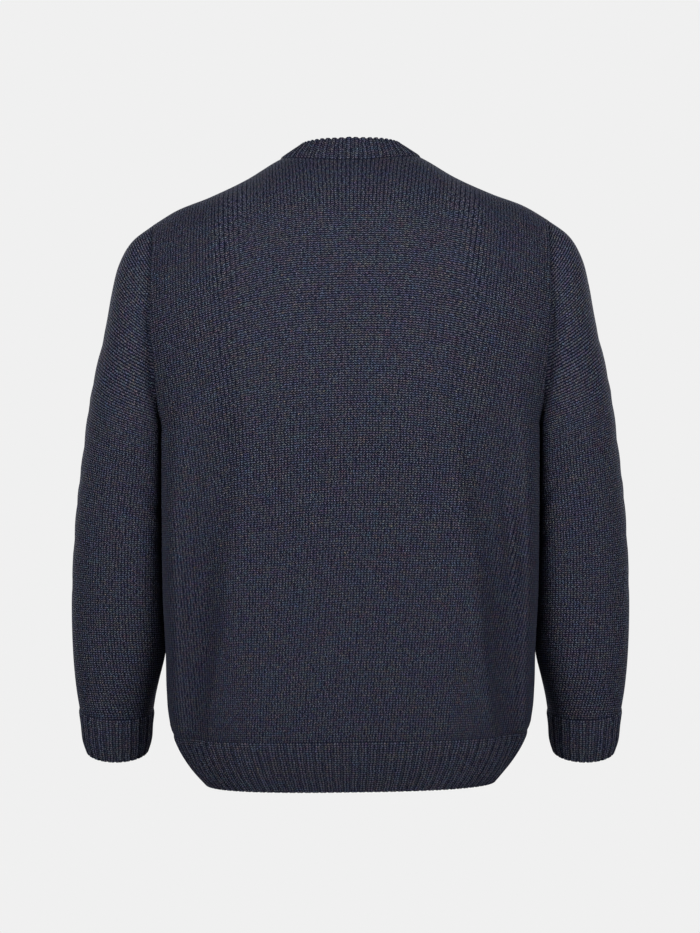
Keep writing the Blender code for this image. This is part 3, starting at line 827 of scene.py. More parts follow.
@dataclass(frozen=True)
class WoolFinish:
    """Worsted-spun wool in a mixed navy yarn, knitted and left matt.

    The yarn is plied from dark navy with brown and tan fibres, so single stitches differ in colour and
    the cloth looks mottled. A light nap of loose fibres softens its rims.

    The relief is drawn in stitches, with wales across and courses along. Where the cloth is pulled along
    its wales, or is tight, the gaps between courses show most. Where it is pulled across them, or is
    packed, the gaps between wales do. Between the two it is loose.
    """

    name: str
    face: Face = Face.STOCKINETTE
    gauge: Gauge = Gauge()
    # How far the stitches wander from an even grid, and how often, both in stitches.
    unevenness: float = 0.50
    wanders_per_stitch: float = 0.55
    # Across a strand, from its middle to its side. Across a wale, from the gap beside it, and to its fold.
    strand_edges: tuple[float, float] = (0.02, 0.43)
    gap_edges: tuple[float, float] = (0.03, 0.26)
    fold_edges: tuple[float, float] = (0.36, 0.50)
    # The slant of a stitch's legs and the height in the fold between them, loose and tight.
    slants: tuple[float, float] = (1.05, 0.50)
    fold_shades: tuple[float, float] = (0.62, 0.92)
    # Heights in the gap beside a wale and on the wale, then between courses and on one.
    gap_loose: tuple[float, float] = (0.01, 1.00)
    gap_tight: tuple[float, float] = (0.52, 0.61)
    row_loose: tuple[float, float] = (0.00, 1.00)
    row_packed: tuple[float, float] = (0.17, 0.43)
    loose_pull: float = 0.5
    purl_wave: float = 0.24
    stitch_relief: float = 0.0010
    fibre_size: float = 0.00045
    fibre_relief: float = 0.00012
    # Painted shade: in the open gaps between stitches, along a seam and in the rib channels.
    painted_gap_shade: float = 0.015
    open_height: float = 0.95
    painted_shade_at_seam: float = 0.50
    painted_shade_width: float = 0.0022
    painted_channel_shade: float = 0.60
    # The tones of single legs, of lengths of yarn and of stitches that lean.
    leg_tone: tuple[float, float] = (0.82, 1.18)
    slub_tone: tuple[float, float] = (0.84, 1.16)
    slub_range: tuple[float, float] = (0.25, 0.75)
    slubs_per_wale: float = 0.8
    slubs_apart: float = 5.37
    lean: float = 0.52
    lean_seed: float = 3.7
    # The colours: patches of two sizes in metres, how far each drifts warm and green, and the flecks.
    hue_sizes: tuple[float, float] = (0.021, 0.0045)
    hue_stretch: float = 0.62
    hue_roughness: float = 0.85
    warmth: tuple[float, float] = (0.42, 0.80)
    green: tuple[float, float] = (0.22, 0.84)
    # The dark navy that the painted shade darkens to; it is added everywhere.
    depths: str = "#060a1a"
    yarn: str = "#5a5a67"
    fleck: str = "#75695c"
    fleck_range: tuple[float, float] = (0.66, 0.76)
    fleck_share: float = 0.50

    def build(self) -> bpy.types.Material:
        """Makes the material.

        Returns:
            The material, which reads the UV map and the seam, lift and pull attributes of a piece.
        """
        made = Shader(self.name)
        cloth = made.add("UVMap", uv_map=UV_NAME)
        scale = (1 / self.gauge.wale, 1 / self.gauge.course, 1.0)
        stitches = made.add("VectorMath", {0: cloth, 1: scale}, operation="MULTIPLY")
        often = self.wanders_per_stitch
        wobble = made.add("TexNoise", {"Vector": stitches, "Scale": often, "Detail": 1.0})
        centred = made.add("VectorMath", {0: wobble.outputs["Color"], 1: (0.5,) * 3}, operation="SUBTRACT")
        amount = (self.unevenness,) * 3
        moved = made.add("VectorMath", {0: centred, 1: amount, 2: stitches}, operation="MULTIPLY_ADD")
        parts = made.add("SeparateXYZ", {0: moved})
        draw = self.purl_relief if self.face is Face.REVERSE else self.knit_relief
        height, strand = draw(made, parts)
        colour = self.yarn_colour(made, cloth, parts, strand, height)
        fibres = made.add("TexNoise", {"Vector": cloth, "Scale": 1 / self.fibre_size, "Detail": 2.0})
        fine = self.fibre_relief / self.stitch_relief
        surface = made.add("Math", {0: fibres.outputs["Fac"], 1: fine, 2: height}, operation="MULTIPLY_ADD")
        bump = made.add("Bump", {"Height": surface, "Distance": self.stitch_relief, "Strength": 1.0})
        skin = made.add(
            "BsdfPrincipled",
            {
                "Base Color": colour,
                "Normal": bump,
                "Roughness": 0.92,
                "IOR": 1.55,
                "Specular IOR Level": 0.03,
                "Sheen Weight": 0.09,
                "Sheen Roughness": 0.32,
                "Sheen Tint": linear("#8f9bb8"),
            },
        )
        made.add("OutputMaterial", {"Surface": skin})
        return made.material

    def rounded(self, made: Shader, strand: bpy.types.Node) -> bpy.types.Node:
        """Rounds each strand of yarn.

        Args:
            made: The node tree.
            strand: The count of courses that follows each strand.

        Returns:
            The height, from 1 along the strand's middle to 0 at its sides.
        """
        off = made.add("Math", {0: strand, 1: 0.5}, operation="PINGPONG")
        middle, side = self.strand_edges
        across = {0: off, 1: middle, 2: side, 3: 1.0, 4: 0.0}
        return made.add("MapRange", across, interpolation_type="SMOOTHSTEP")

    def purl_relief(self, made: Shader, parts: bpy.types.Node) -> tuple[bpy.types.Node, bpy.types.Node]:
        """Draws the waves of the cloth's inside.

        Args:
            made: The node tree.
            parts: Wales across and courses along, as X and Y.

        Returns:
            The height from 0 to 1, and the count of courses that follows each strand.
        """
        turn = made.add("Math", {0: parts.outputs["X"], 1: 2 * math.pi}, operation="MULTIPLY")
        wave = made.add("Math", {0: turn}, operation="SINE")
        along = {0: wave, 1: self.purl_wave, 2: parts.outputs["Y"]}
        strand = made.add("Math", along, operation="MULTIPLY_ADD")
        return self.rounded(made, strand), strand

    def knit_relief(self, made: Shader, parts: bpy.types.Node) -> tuple[bpy.types.Node, bpy.types.Node]:
        """Draws the V-shaped stitches of the cloth's outside.

        Args:
            made: The node tree.
            parts: Wales across and courses along, as X and Y.

        Returns:
            The height from 0 to 1, and the count of courses that follows each strand.
        """
        pull = made.add("Attribute", attribute_name="pull", attribute_type="GEOMETRY").outputs["Fac"]
        tighter = {0: pull, 1: self.loose_pull, 2: 1.0}
        looser = {0: pull, 1: 0.0, 2: self.loose_pull}
        across = made.add("Math", {0: parts.outputs["X"], 1: 0.5}, operation="PINGPONG")
        loose, tight = self.slants
        slant = made.add("MapRange", {**tighter, 3: loose, 4: tight})
        strand = made.add("Math", {0: across, 1: slant, 2: parts.outputs["Y"]}, operation="MULTIPLY_ADD")
        low, high = (
            made.add("MapRange", {**tighter, 3: loose, 4: tight})
            for loose, tight in zip(self.gap_loose, self.gap_tight)
        )
        start, end = self.gap_edges
        bank = {0: across, 1: start, 2: end, 3: low, 4: high}
        bank = made.add("MapRange", bank, interpolation_type="SMOOTHSTEP")
        loose, tight = self.fold_shades
        deep = made.add("MapRange", {**tighter, 3: loose, 4: tight})
        start, end = self.fold_edges
        fold = {0: across, 1: start, 2: end, 3: 1.0, 4: deep}
        fold = made.add("MapRange", fold, interpolation_type="SMOOTHSTEP")
        leg = made.add("Math", {0: bank, 1: fold}, operation="MULTIPLY")
        low, high = (
            made.add("MapRange", {**looser, 3: packed, 4: loose})
            for packed, loose in zip(self.row_packed, self.row_loose)
        )
        body = made.add("MapRange", {0: self.rounded(made, strand), 3: low, 4: high})
        return made.add("Math", {0: leg, 1: body}, operation="MULTIPLY"), strand

    def yarn_tones(
        self, made: Shader, parts: bpy.types.Node, strand: bpy.types.Node
    ) -> tuple[bpy.types.Node, bpy.types.NodeSocket]:
        """Gives each leg of a stitch, each length of yarn and each leaning stitch a tone of its own.

        Args:
            made: The node tree.
            parts: Wales across and courses along, as X and Y.
            strand: The count of courses that follows each strand.

        Returns:
            The tone round 1, and how thick the yarn is, from 0 to 1.
        """
        wales = parts.outputs["X"]
        course = made.add("Math", {0: strand, 1: 0.5}, operation="ADD")
        number = made.add("Math", {0: course}, operation="FLOOR")
        halves = made.add("Math", {0: wales, 1: 2.0}, operation="MULTIPLY")
        leg = made.add("Math", {0: halves}, operation="FLOOR")
        cell = made.add("CombineXYZ", {0: leg, 1: number})
        chance = made.add("TexWhiteNoise", {"Vector": cell}, noise_dimensions="2D")
        dark, light = self.leg_tone
        legs = made.add("MapRange", {0: chance.outputs["Value"], 3: dark, 4: light})
        apart = made.add("Math", {0: number, 1: self.slubs_apart}, operation="MULTIPLY")
        run = made.add("Math", {0: wales, 1: self.slubs_per_wale}, operation="MULTIPLY")
        yarn = made.add("CombineXYZ", {0: run, 1: apart})
        slub = made.add("TexNoise", {"Vector": yarn, "Scale": 1.0, "Detail": 1.0}).outputs["Fac"]
        dark, light = self.slub_tone
        thin, thick = self.slub_range
        slubs = made.add("MapRange", {0: slub, 1: thin, 2: thick, 3: dark, 4: light})
        wale = made.add("Math", {0: wales}, operation="FLOOR")
        stitch = made.add("CombineXYZ", {0: wale, 1: number})
        lean = made.add("TexWhiteNoise", {"Vector": stitch, "W": self.lean_seed}, noise_dimensions="4D")
        inside = made.add("Math", {0: wales}, operation="FRACT")
        second = made.add("Math", {0: inside, 1: 0.5}, operation="GREATER_THAN")
        way = made.add("MapRange", {0: second, 3: self.lean, 4: -self.lean})
        centred = made.add("MapRange", {0: lean.outputs["Value"], 3: -1.0, 4: 1.0})
        leans = made.add("Math", {0: way, 1: centred, 2: 1.0}, operation="MULTIPLY_ADD")
        tone = made.add("Math", {0: legs, 1: slubs}, operation="MULTIPLY")
        return made.add("Math", {0: tone, 1: leans}, operation="MULTIPLY"), slub

    def patches(self, made: Shader, cloth: bpy.types.Node) -> bpy.types.Node:
        """Drifts the dye between warm and cold and towards green, in large and in small patches.

        Args:
            made: The node tree.
            cloth: The cloth's own coordinates, in metres.

        Returns:
            The tint, round white.
        """
        streak = made.add("VectorMath", {0: cloth, 1: (self.hue_stretch, 1.0, 1.0)}, operation="MULTIPLY")
        grain = {"Vector": streak, "Detail": 1.0, "Roughness": self.hue_roughness}
        coarse, fine = (
            made.add("TexNoise", {**grain, "Scale": 1 / size}).outputs["Color"] for size in self.hue_sizes
        )
        large, small = ((warmth, green, 0.0) for warmth, green in zip(self.warmth, self.green))
        drift = made.add("VectorMath", {0: coarse, 1: large}, operation="MULTIPLY")
        drift = made.add("VectorMath", {0: fine, 1: small, 2: drift}, operation="MULTIPLY_ADD")
        drift = made.add("SeparateXYZ", {0: drift})
        hues = made.add("CombineXYZ", {0: drift.outputs["X"], 1: drift.outputs["Y"], 2: drift.outputs["X"]})
        warmth, green = sum(self.warmth) / 2, sum(self.green) / 2
        level = (1 - warmth, 1 - green, 1 + warmth)
        return made.add("VectorMath", {0: hues, 1: (1.0, 1.0, -1.0), 2: level}, operation="MULTIPLY_ADD")

    def yarn_colour(
        self,
        made: Shader,
        cloth: bpy.types.Node,
        parts: bpy.types.Node,
        strand: bpy.types.Node,
        height: bpy.types.Node,
    ) -> bpy.types.NodeSocket:
        """Colours each strand of yarn along its own course, and paints shade into the gaps between stitches,
        along seams and in the rib channels.

        Args:
            made: The node tree.
            cloth: The cloth's own coordinates, in metres.
            parts: Wales across and courses along, as X and Y.
            strand: The count of courses that follows each strand.
            height: The relief, from 0 to 1, whose low parts get painted shade.

        Returns:
            The colour.
        """
        tone, slub = self.yarn_tones(made, parts, strand)
        start, end = self.fleck_range
        rare = made.add("MapRange", {0: slub, 1: start, 2: end, 3: 0.0, 4: self.fleck_share})
        plies = {"Factor": rare, "A": linear(self.yarn), "B": linear(self.fleck)}
        fibre = made.add("Mix", plies, data_type="RGBA").outputs["Result"]
        tint = self.patches(made, cloth)
        dyed = made.add("VectorMath", {0: fibre, 1: tint}, operation="MULTIPLY")
        # Painted shade: the low parts of the relief, the gaps between stitches, are darkened in the colour.
        shade = made.add("MapRange", {0: height, 2: self.open_height, 3: self.painted_gap_shade})
        # Painted shade along the seams: the colour darkens towards a seam.
        seam = made.add("Attribute", attribute_name="seam", attribute_type="GEOMETRY").outputs["Fac"]
        joined = made.add("MapRange", {0: seam, 2: self.painted_shade_width, 3: self.painted_shade_at_seam})
        lift = made.add("Attribute", attribute_name="lift", attribute_type="GEOMETRY").outputs["Fac"]
        # Painted shade in the purl channels of a rib.
        channel = made.add("MapRange", {0: lift, 1: VALLEY_LIFT, 3: self.painted_channel_shade})
        for part in (joined, channel, tone):
            shade = made.add("Math", {0: shade, 1: part}, operation="MULTIPLY")
        depths = linear(self.depths)[:3]
        return made.add("VectorMath", {0: dyed, 1: shade, 2: depths}, operation="MULTIPLY_ADD").outputs[0]


@dataclass
class PieceMaker:
    """Turns knitted grids into finished pieces on the frame."""

    face: bpy.types.Material
    reverse: bpy.types.Material
    rib: bpy.types.Material
    sharp_angle: float = math.radians(60)

    def add(self, name: str, node: str, knit: Knit, cut: tuple[float, float], ribbed: bool) -> None:
        """Makes one piece in place of its solid.

        Args:
            name: The piece's name.
            node: The solid that it stands for.
            knit: The piece's grid.
            cut: Width and length of the cloth as it was knitted, before it was worn. It is not used.
            ribbed: Whether the piece is a rib.
        """
        mesh = self.shell(name, knit)
        mesh.materials.append(self.rib if ribbed else self.face)
        mesh.materials.append(self.rib if ribbed else self.reverse)
        mesh.shade_smooth()
        mesh.set_sharp_from_angle(angle=self.sharp_angle)
        piece = bpy.data.objects.new(name, mesh)
        bpy.context.scene.collection.objects.link(piece)
        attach(piece, "root")
        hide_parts(node)
        LOG.info("%s: %d faces, %.3f m2 of cloth", name, len(mesh.polygons), knit.area())

    def shell(self, name: str, knit: Knit) -> bpy.types.Mesh:
        """Makes the closed shell of a piece.

        Args:
            name: The mesh's name.
            knit: The piece's grid.

        Returns:
            The mesh, with its UV map and its seam, lift and pull attributes. Its inner face is in the second
            slot.
        """
        shape = bmesh.new()
        self.outer_face(shape, knit)
        self.inner_face(shape, knit)
        bmesh.ops.recalc_face_normals(shape, faces=shape.faces)
        mesh = bpy.data.meshes.new(name)
        shape.to_mesh(mesh)
        shape.free()
        return mesh

    @staticmethod
    def outer_face(shape: bmesh.types.BMesh, knit: Knit) -> None:
        """Lays the outer face as a grid and joins the ends of a ring.

        Args:
            shape: The empty shape.
            knit: The piece's grid.
        """
        rows, spans = knit.uv.shape[0], knit.uv.shape[1] - 1
        layer = shape.loops.layers.uv.new(UV_NAME)
        bmesh.ops.create_grid(shape, x_segments=spans, y_segments=rows - 1, size=0.5, calc_uvs=True)
        shape.verts.ensure_lookup_table()
        seam = shape.verts.layers.float.new("seam")
        lift = shape.verts.layers.float.new("lift")
        pull = shape.verts.layers.float.new("pull")
        place = shape.verts.layers.int.new("place")
        start = shape.verts[0].co.copy()
        wide = max(v.co.x for v in shape.verts) - start.x
        high = max(v.co.y for v in shape.verts) - start.y
        cells = {}
        for vert in shape.verts:
            row = round((vert.co.y - start.y) / high * (rows - 1))
            column = round((vert.co.x - start.x) / wide * spans)
            cells[vert] = (row, column)
        for face in shape.faces:
            for loop in face.loops:
                loop[layer].uv = knit.uv[cells[loop.vert]]
        size = knit.outer.shape[1]
        for vert, (row, column) in cells.items():
            here = (row, column % size)
            vert.co = knit.outer[here]
            vert[seam] = knit.seam[here]
            vert[lift] = knit.lift[here]
            vert[pull] = knit.pull[here]
            vert[place] = row * size + column % size
        if knit.closed:
            by_cell = {cell: vert for vert, cell in cells.items()}
            ends = {by_cell[row, spans]: by_cell[row, 0] for row in range(rows)}
            bmesh.ops.weld_verts(shape, targetmap=ends)

    @staticmethod
    def inner_face(shape: bmesh.types.BMesh, knit: Knit) -> None:
        """Extrudes the outer face to the inner one, which gets the second material slot.

        Args:
            shape: The shape, with its outer face.
            knit: The piece's grid.
        """
        place = shape.verts.layers.int["place"]
        inner = knit.inner.reshape(-1, 3)
        sheet = [*shape.verts, *shape.edges, *shape.faces]
        made = bmesh.ops.extrude_face_region(shape, geom=sheet, use_keep_orig=True)["geom"]
        for part in made:
            if isinstance(part, bmesh.types.BMVert):
                part.co = inner[part[place]]
            elif isinstance(part, bmesh.types.BMFace):
                part.material_index = 1


@dataclass
class BodyPanels:
    """The back and the front in stockinette, joined at the sides and shoulders."""

    body: BodyShape
    gauge: Gauge
    leg_steps: int = 62
    armhole_steps: int = 30
    shoulder_steps: int = 40
    shoulder_columns: int = 60
    neck_columns: dict[Panel, int] = field(default_factory=lambda: {Panel.BACK: 52, Panel.FRONT: 56})
    shoulder_fullness: dict[Panel, tuple[float, float]] = field(
        default_factory=lambda: {Panel.BACK: (2.0, 2.0), Panel.FRONT: (1.6, 2.0)}
    )
    creases: dict[Panel, tuple[Crease, ...]] = field(
        default_factory=lambda: {Panel.BACK: BACK_CREASES, Panel.FRONT: FRONT_CREASES}
    )
    crease_fade: float = 0.022
    # The ridge beside the armhole seam. It starts over the underarm and ends before the shoulder.
    selvage_rise: float = 0.0014
    selvage_place: float = 0.0044
    selvage_width: float = 0.0028
    selvage_starts: float = 0.02
    selvage_ends: float = 0.01
    selvage_fade: float = 0.03
    # How the cloth swells over the hem rib.
    blouse: float = 0.0009
    blouse_place: float = 0.011
    blouse_width: float = 0.008
    blouse_starts: float = 0.006
    blouse_from_side: float = 0.03
    # Added to the distance to the seam, so that the painted shade along the seam stays faint on the panels.
    painted_shade_offset: float = 0.0010
    spread_power: float = 1.6
    cut: dict[Panel, tuple[float, float]] = field(
        default_factory=lambda: {Panel.BACK: (0.600, 0.715), Panel.FRONT: (0.600, 0.695)}
    )
    points: dict[Panel, Array] = field(default_factory=dict)
    cloth: dict[Panel, Array] = field(default_factory=dict)
    out: dict[Panel, Array] = field(default_factory=dict)

    def __post_init__(self) -> None:
        """Lays out both panels and shares the wall directions along their common seams."""
        for panel in Panel:
            self.points[panel], self.cloth[panel] = self.lay_out(panel)
            directions = wall_directions(self.points[panel], closed=False) * panel.value
            directions[0, :, 2] = 0.0
            self.out[panel] = unit(directions)
        back, front = self.out[Panel.BACK], self.out[Panel.FRONT]
        side, shoulder = self.leg_steps + 1, self.shoulder_columns + 1
        sides = (np.s_[:side, 0], np.s_[:side, -1])
        shoulders = (np.s_[-1, :shoulder], np.s_[-1, -shoulder:])
        for seam in (*sides, *shoulders):
            back[seam] = front[seam] = unit(back[seam] + front[seam])

    def column_ends(self, panel: Panel) -> tuple[Array, Array]:
        """Gives where each column of a panel ends at the top.

        Args:
            panel: The body panel.

        Returns:
            The x of each column, and the cosine of its neckline angle, which is not a number on the shoulder.
        """
        shares = np.arange(1, self.shoulder_columns + 1) / self.shoulder_columns
        left_over = (1 - shares) ** self.body.column_crowding
        neck = self.body.neck_half_width
        shoulder = self.body.armhole_x - (self.body.armhole_x - neck) * left_over
        count = self.neck_columns[panel]
        angles = math.pi * (np.arange(1, count) / count - 0.5)
        side = np.concatenate(([neck], shoulder))
        x = np.concatenate((-side[::-1], neck * np.sin(angles), side))
        blank = np.full(len(side), np.nan)
        return x, np.concatenate((blank, np.cos(angles), blank))

    def lay_out(self, panel: Panel) -> tuple[Array, Array]:
        """Lays out one panel.

        Args:
            panel: The body panel.

        Returns:
            Its outer points, rows from the hem rib up and columns from -X to +X, and its places on the cloth.
        """
        body = self.body
        ends, neck_cosine = self.column_ends(panel)
        shares = body.column_shares(panel, ends)
        turns = np.arange(1, self.armhole_steps + 1) / self.armhole_steps * math.pi / 2
        legs = np.linspace(body.hem_top, body.underarm, self.leg_steps + 1)
        levels = np.concatenate((legs, body.yoke - (body.yoke - body.underarm) * np.cos(turns)))
        rows, across = zip(*(body.section_points(panel, float(z), shares) for z in levels))
        start = rows[-1]
        outward = (np.abs(start[:, 0]) - body.neck_half_width) / (body.armhole_x - body.neck_half_width)
        at_neck, at_armhole = self.shoulder_fullness[panel]
        full = at_neck + (at_armhole - at_neck) * ease(outward)
        reach = start[:, 1] - body.shoulder_seam_y
        edge = (body.neck_edge_y[panel] - body.shoulder_seam_y) * np.nan_to_num(neck_cosine) / reach
        last = np.where(np.isnan(neck_cosine), math.pi / 2, np.arccos(np.maximum(edge, 0.0) ** (full / 2)))
        ridge = body.shoulder.at("z", np.abs(start[:, 0]))
        arch = []
        for i in range(1, self.shoulder_steps + 1):
            angle = last * i / self.shoulder_steps
            y = body.shoulder_seam_y + reach * np.maximum(np.cos(angle), 0.0) ** (2 / full)
            z = body.yoke + (ridge - body.yoke) * np.sin(angle) ** (2 / full)
            arch.append(np.stack((start[:, 0], y, z), axis=-1))
        points = np.array([*rows, *arch])
        u = np.array([*across, *self.spread_up(across[-1], start[:, 0])])
        below = np.repeat((levels - body.hem_top)[:, None], len(ends), axis=1)
        above = below[-1] + steps_along(points[len(levels) - 1 :], axis=0)[1:]
        v = np.concatenate((below, above))
        return points, self.settled(panel, points, u, v)

    def spread_up(self, at_yoke: Array, x: Array) -> list[Array]:
        """Eases the places across the cloth from those on the yoke to those along the shoulder.

        Args:
            at_yoke: Places across the wales on the yoke's row.
            x: The x of each column.

        Returns:
            The places on each row above the yoke.
        """
        at_ridge = self.body.shoulder_cloth(x)
        shares = np.arange(1, self.shoulder_steps + 1) / self.shoulder_steps
        return [at_yoke + (at_ridge - at_yoke) * share**self.spread_power for share in shares]

    def settled(self, panel: Panel, points: Array, u: Array, v: Array) -> Array:
        """Slants the wales and the courses.

        Args:
            panel: The body panel.
            points: Its outer points.
            u: Places across the wales.
            v: Places along them.

        Returns:
            The cloth coordinates.
        """
        body = self.body
        x, z = points[..., 0] * panel.value, points[..., 2]
        aside = body.wale_slants.along(0, body.slants_level_at, x, z) * panel.value
        up = -body.course_slants.along(1, 0.0, x, z)
        return np.stack((u + aside, v + up), axis=-1)

    def edge_distances(self, panel: Panel) -> tuple[Array, Array]:
        """Gives each point's distances to the panel's edges.

        Args:
            panel: The body panel.

        Returns:
            The distance to the nearer side edge, and to the nearer of hem and shoulder or neckline.
        """
        points = self.points[panel]
        across, up = steps_along(points, axis=1), steps_along(points, axis=0)
        side = np.minimum(across, across[:, -1:] - across)
        return side, np.minimum(up, up[-1:] - up)

    def knit(self, panel: Panel) -> Knit:
        """Gives a panel its creases, its selvage and the cloth that swells over the hem rib.

        Args:
            panel: The body panel.

        Returns:
            The piece, leaned into place.
        """
        points, out, uv = self.points[panel], self.out[panel], self.cloth[panel]
        x, z = np.abs(points[..., 0]), points[..., 2]
        side, end = self.edge_distances(panel)
        drawn = sum(crease.draw(points[..., 0], z) for crease in self.creases[panel])
        offset = -drawn * ease(np.minimum(side, end) / self.crease_fade)
        ridge = np.exp(-(((side - self.selvage_place) / self.selvage_width) ** 2))
        ridge *= ease((z - self.body.underarm) / self.selvage_starts)
        offset += self.selvage_rise * ridge * ease((end - self.selvage_ends) / self.selvage_fade)
        v = uv[..., 1]
        swell = np.exp(-(((v - self.blouse_place) / self.blouse_width) ** 2)) * ease(v / self.blouse_starts)
        offset += self.blouse * swell * ease(side / self.blouse_from_side)
        outer = points + out * offset[..., None]
        inner = self.body.leaned(outer - out * self.gauge.wall)
        outer, seam, lift = self.body.leaned(outer), end + self.painted_shade_offset, np.ones(points.shape[:2])
        return Knit(outer, inner, uv, seam, lift, self.body.pulled(x, z), closed=False)

    def armhole(self, values: dict[Panel, Array], column: int) -> Array:
        """Reads values round an armhole: down the back edge from the shoulder tip, then up the front edge.

        Args:
            values: A grid of values for each panel.
            column: The column of the armhole, 0 or -1.

        Returns:
            The values along the seam.
        """
        down = values[Panel.BACK][: self.leg_steps - 1 : -1, column]
        up = values[Panel.FRONT][self.leg_steps :, column]
        return np.concatenate((down, up[1:-1]))

    def set_armhole(self, column: int, seam: Array) -> None:
        """Lays an armhole's seam directions back into the edges of both panels.

        Args:
            column: The column of the armhole, 0 or -1.
            seam: The directions along the seam.
        """
        half = self.armhole_steps + self.shoulder_steps
        self.out[Panel.BACK][: self.leg_steps - 1 : -1, column] = seam[: half + 1]
        around = np.concatenate((seam[half:], seam[:1]))
        self.out[Panel.FRONT][self.leg_steps :, column] = around

    def neckline(self, values: dict[Panel, Array]) -> Array:
        """Reads values round the neckline from the -X neck point over the back, then the front.

        Args:
            values: A grid of values for each panel.

        Returns:
            The values along the seam.
        """
        first = self.shoulder_columns
        back = values[Panel.BACK][-1, first : first + self.neck_columns[Panel.BACK] + 1]
        front = values[Panel.FRONT][-1, first : first + self.neck_columns[Panel.FRONT] + 1][::-1]
        return np.concatenate((back, front[1:-1]))

    def set_neckline(self, seam: Array) -> None:
        """Lays the neckline's seam directions back into the top edges of both panels.

        Args:
            seam: The directions along the seam.
        """
        first, count = self.shoulder_columns, self.neck_columns[Panel.BACK]
        self.out[Panel.BACK][-1, first : first + count + 1] = seam[: count + 1]
        front = np.concatenate((seam[count:], seam[:1]))[::-1]
        self.out[Panel.FRONT][-1, first : first + self.neck_columns[Panel.FRONT] + 1] = front


@dataclass
class Sleeve:
    """One sleeve in stockinette. It is built on the +X side and mirrored for the other."""

    body: BodyShape
    gauge: Gauge
    panels: BodyPanels
    side: int
    row_steps: int = 6
    clearance: float = 0.0012
    rest_softness: float = 0.004
    rests_within_x: float = 0.235
    # The groove beside the armhole seam, which fades over the shoulder and towards the underarm.
    groove: float = 0.0062
    groove_starts: float = 0.006
    groove_width: float = 0.0190
    groove_over_shoulder: float = 0.55
    groove_ends: float = -0.285
    groove_fade: float = 0.05
    # The share of the distance from the armhole that counts, which widens the painted shade along its seam.
    armhole_shade_share: float = 0.40
    crease_fade: float = 0.020
    # How far the cloth is pulled along its wales on the lower and on the upper sleeve.
    pull_low: float = 0.36
    pull_high: float = 0.95
    pull_rises_from: float = -0.38
    pull_rise: float = 0.14
    slope_kept: float = 0.32
    slope_reach: float = 0.020
    stretch_across: float = 1.07
    outer_samples: int = 700
    cloth_samples: int = 400
    cut: tuple[float, float] = (0.548, 0.586)
    # For each ring: x and z of its outer end and of its inner end, half its depth, the y of its middle and
    # its tilt in degrees.
    rings: tuple[tuple[float, ...], ...] = (
        (0.2490, -0.0900, 0.2140, -0.3105, 0.0565, -0.002, 0),
        (0.2640, -0.1160, 0.2110, -0.3190, 0.0590, -0.003, 0),
        (0.2720, -0.1470, 0.2090, -0.3290, 0.0605, -0.004, 0),
        (0.2790, -0.1850, 0.2080, -0.3420, 0.0615, -0.005, 1),
        (0.2894, -0.2290, 0.2070, -0.3610, 0.0620, -0.006, 2),
        (0.2990, -0.2740, 0.2060, -0.3870, 0.0615, -0.008, 3),
        (0.3050, -0.3220, 0.2055, -0.4180, 0.0605, -0.010, 4),
        (0.3118, -0.3710, 0.2055, -0.4530, 0.0595, -0.013, 5),
        (0.3163, -0.4210, 0.2060, -0.4900, 0.0580, -0.017, 7),
        (0.3193, -0.4700, 0.2070, -0.5260, 0.0560, -0.022, 9),
        (0.3205, -0.5180, 0.2110, -0.5600, 0.0530, -0.028, 11),
        (0.3197, -0.5630, 0.2195, -0.5920, 0.0490, -0.035, 13),
        (0.3172, -0.6000, 0.2247, -0.6130, 0.0445, -0.042, 14),
        (0.3135, -0.6280, 0.2280, -0.6310, 0.0410, -0.048, 14),
    )
    # How steeply the courses run down towards the body where they leave the outer line, and how far apart.
    courses: Table = field(
        default_factory=lambda: Table(
            "outer_z degrees spacing",
            (-0.650, 0.0, 0.00262),
            (-0.546, 0.5, 0.00262),
            (-0.500, 3.0, 0.00262),
            (-0.456, 10.0, 0.00260),
            (-0.410, 19.0, 0.00256),
            (-0.365, 23.0, 0.00256),
            (-0.319, 31.0, 0.00250),
            (-0.285, 40.0, 0.00254),
            (-0.251, 47.0, 0.00282),
            (-0.217, 52.0, 0.00296),
            (-0.182, 55.0, 0.00272),
            (-0.150, 59.0, 0.00245),
            (-0.114, 64.0, 0.00275),
            (-0.070, 69.0, 0.00300),
        )
    )

    @staticmethod
    def ring(row: tuple[float, ...], angles: Array) -> Array:
        """Gives points round one ring.

        Args:
            row: The ring's sizes, in the order of the rings.
            angles: The angle of each point: 0 is the outer end and a quarter turn the back.

        Returns:
            The points.
        """
        outer_x, outer_z, inner_x, inner_z, half_depth, centre_y, tilt_deg = row
        outer, inner = np.array((outer_x, 0.0, outer_z)), np.array((inner_x, 0.0, inner_z))
        tilt = math.radians(tilt_deg)
        back = half_depth * np.array((0.0, math.cos(tilt), -math.sin(tilt)))
        middle = (outer + inner) / 2 + np.array((0.0, centre_y, 0.0))
        return middle + np.outer(np.cos(angles), (outer - inner) / 2) + np.outer(np.sin(angles), back)

    def angles(self) -> Array:
        """Gives the angle of each column.

        Returns:
            The angles from the outer line over the back, the underarm and the front.
        """
        shoulder, armhole = self.panels.shoulder_steps, self.panels.armhole_steps
        quarter = math.pi / 2
        down = np.concatenate(
            (quarter * np.arange(shoulder) / shoulder, quarter * (1 + np.arange(armhole + 1) / armhole))
        )
        return np.concatenate((down, 2 * math.pi - down[-2:0:-1]))

    def rest_on_body(self, points: Array) -> Array:
        """Moves points below the yoke that would reach the body out to rest just clear of it.

        Args:
            points: The outer points.

        Returns:
            The moved points.
        """
        flat = points.reshape(-1, 3).copy()
        low = (flat[:, 2] < self.body.yoke) & (flat[:, 0] < self.rests_within_x)
        least = self.body.half_width_at(flat[low]) + self.clearance
        apart = flat[low, 0] - least
        flat[low, 0] = least + (apart + np.hypot(apart, self.rest_softness)) / 2
        return flat.reshape(points.shape)

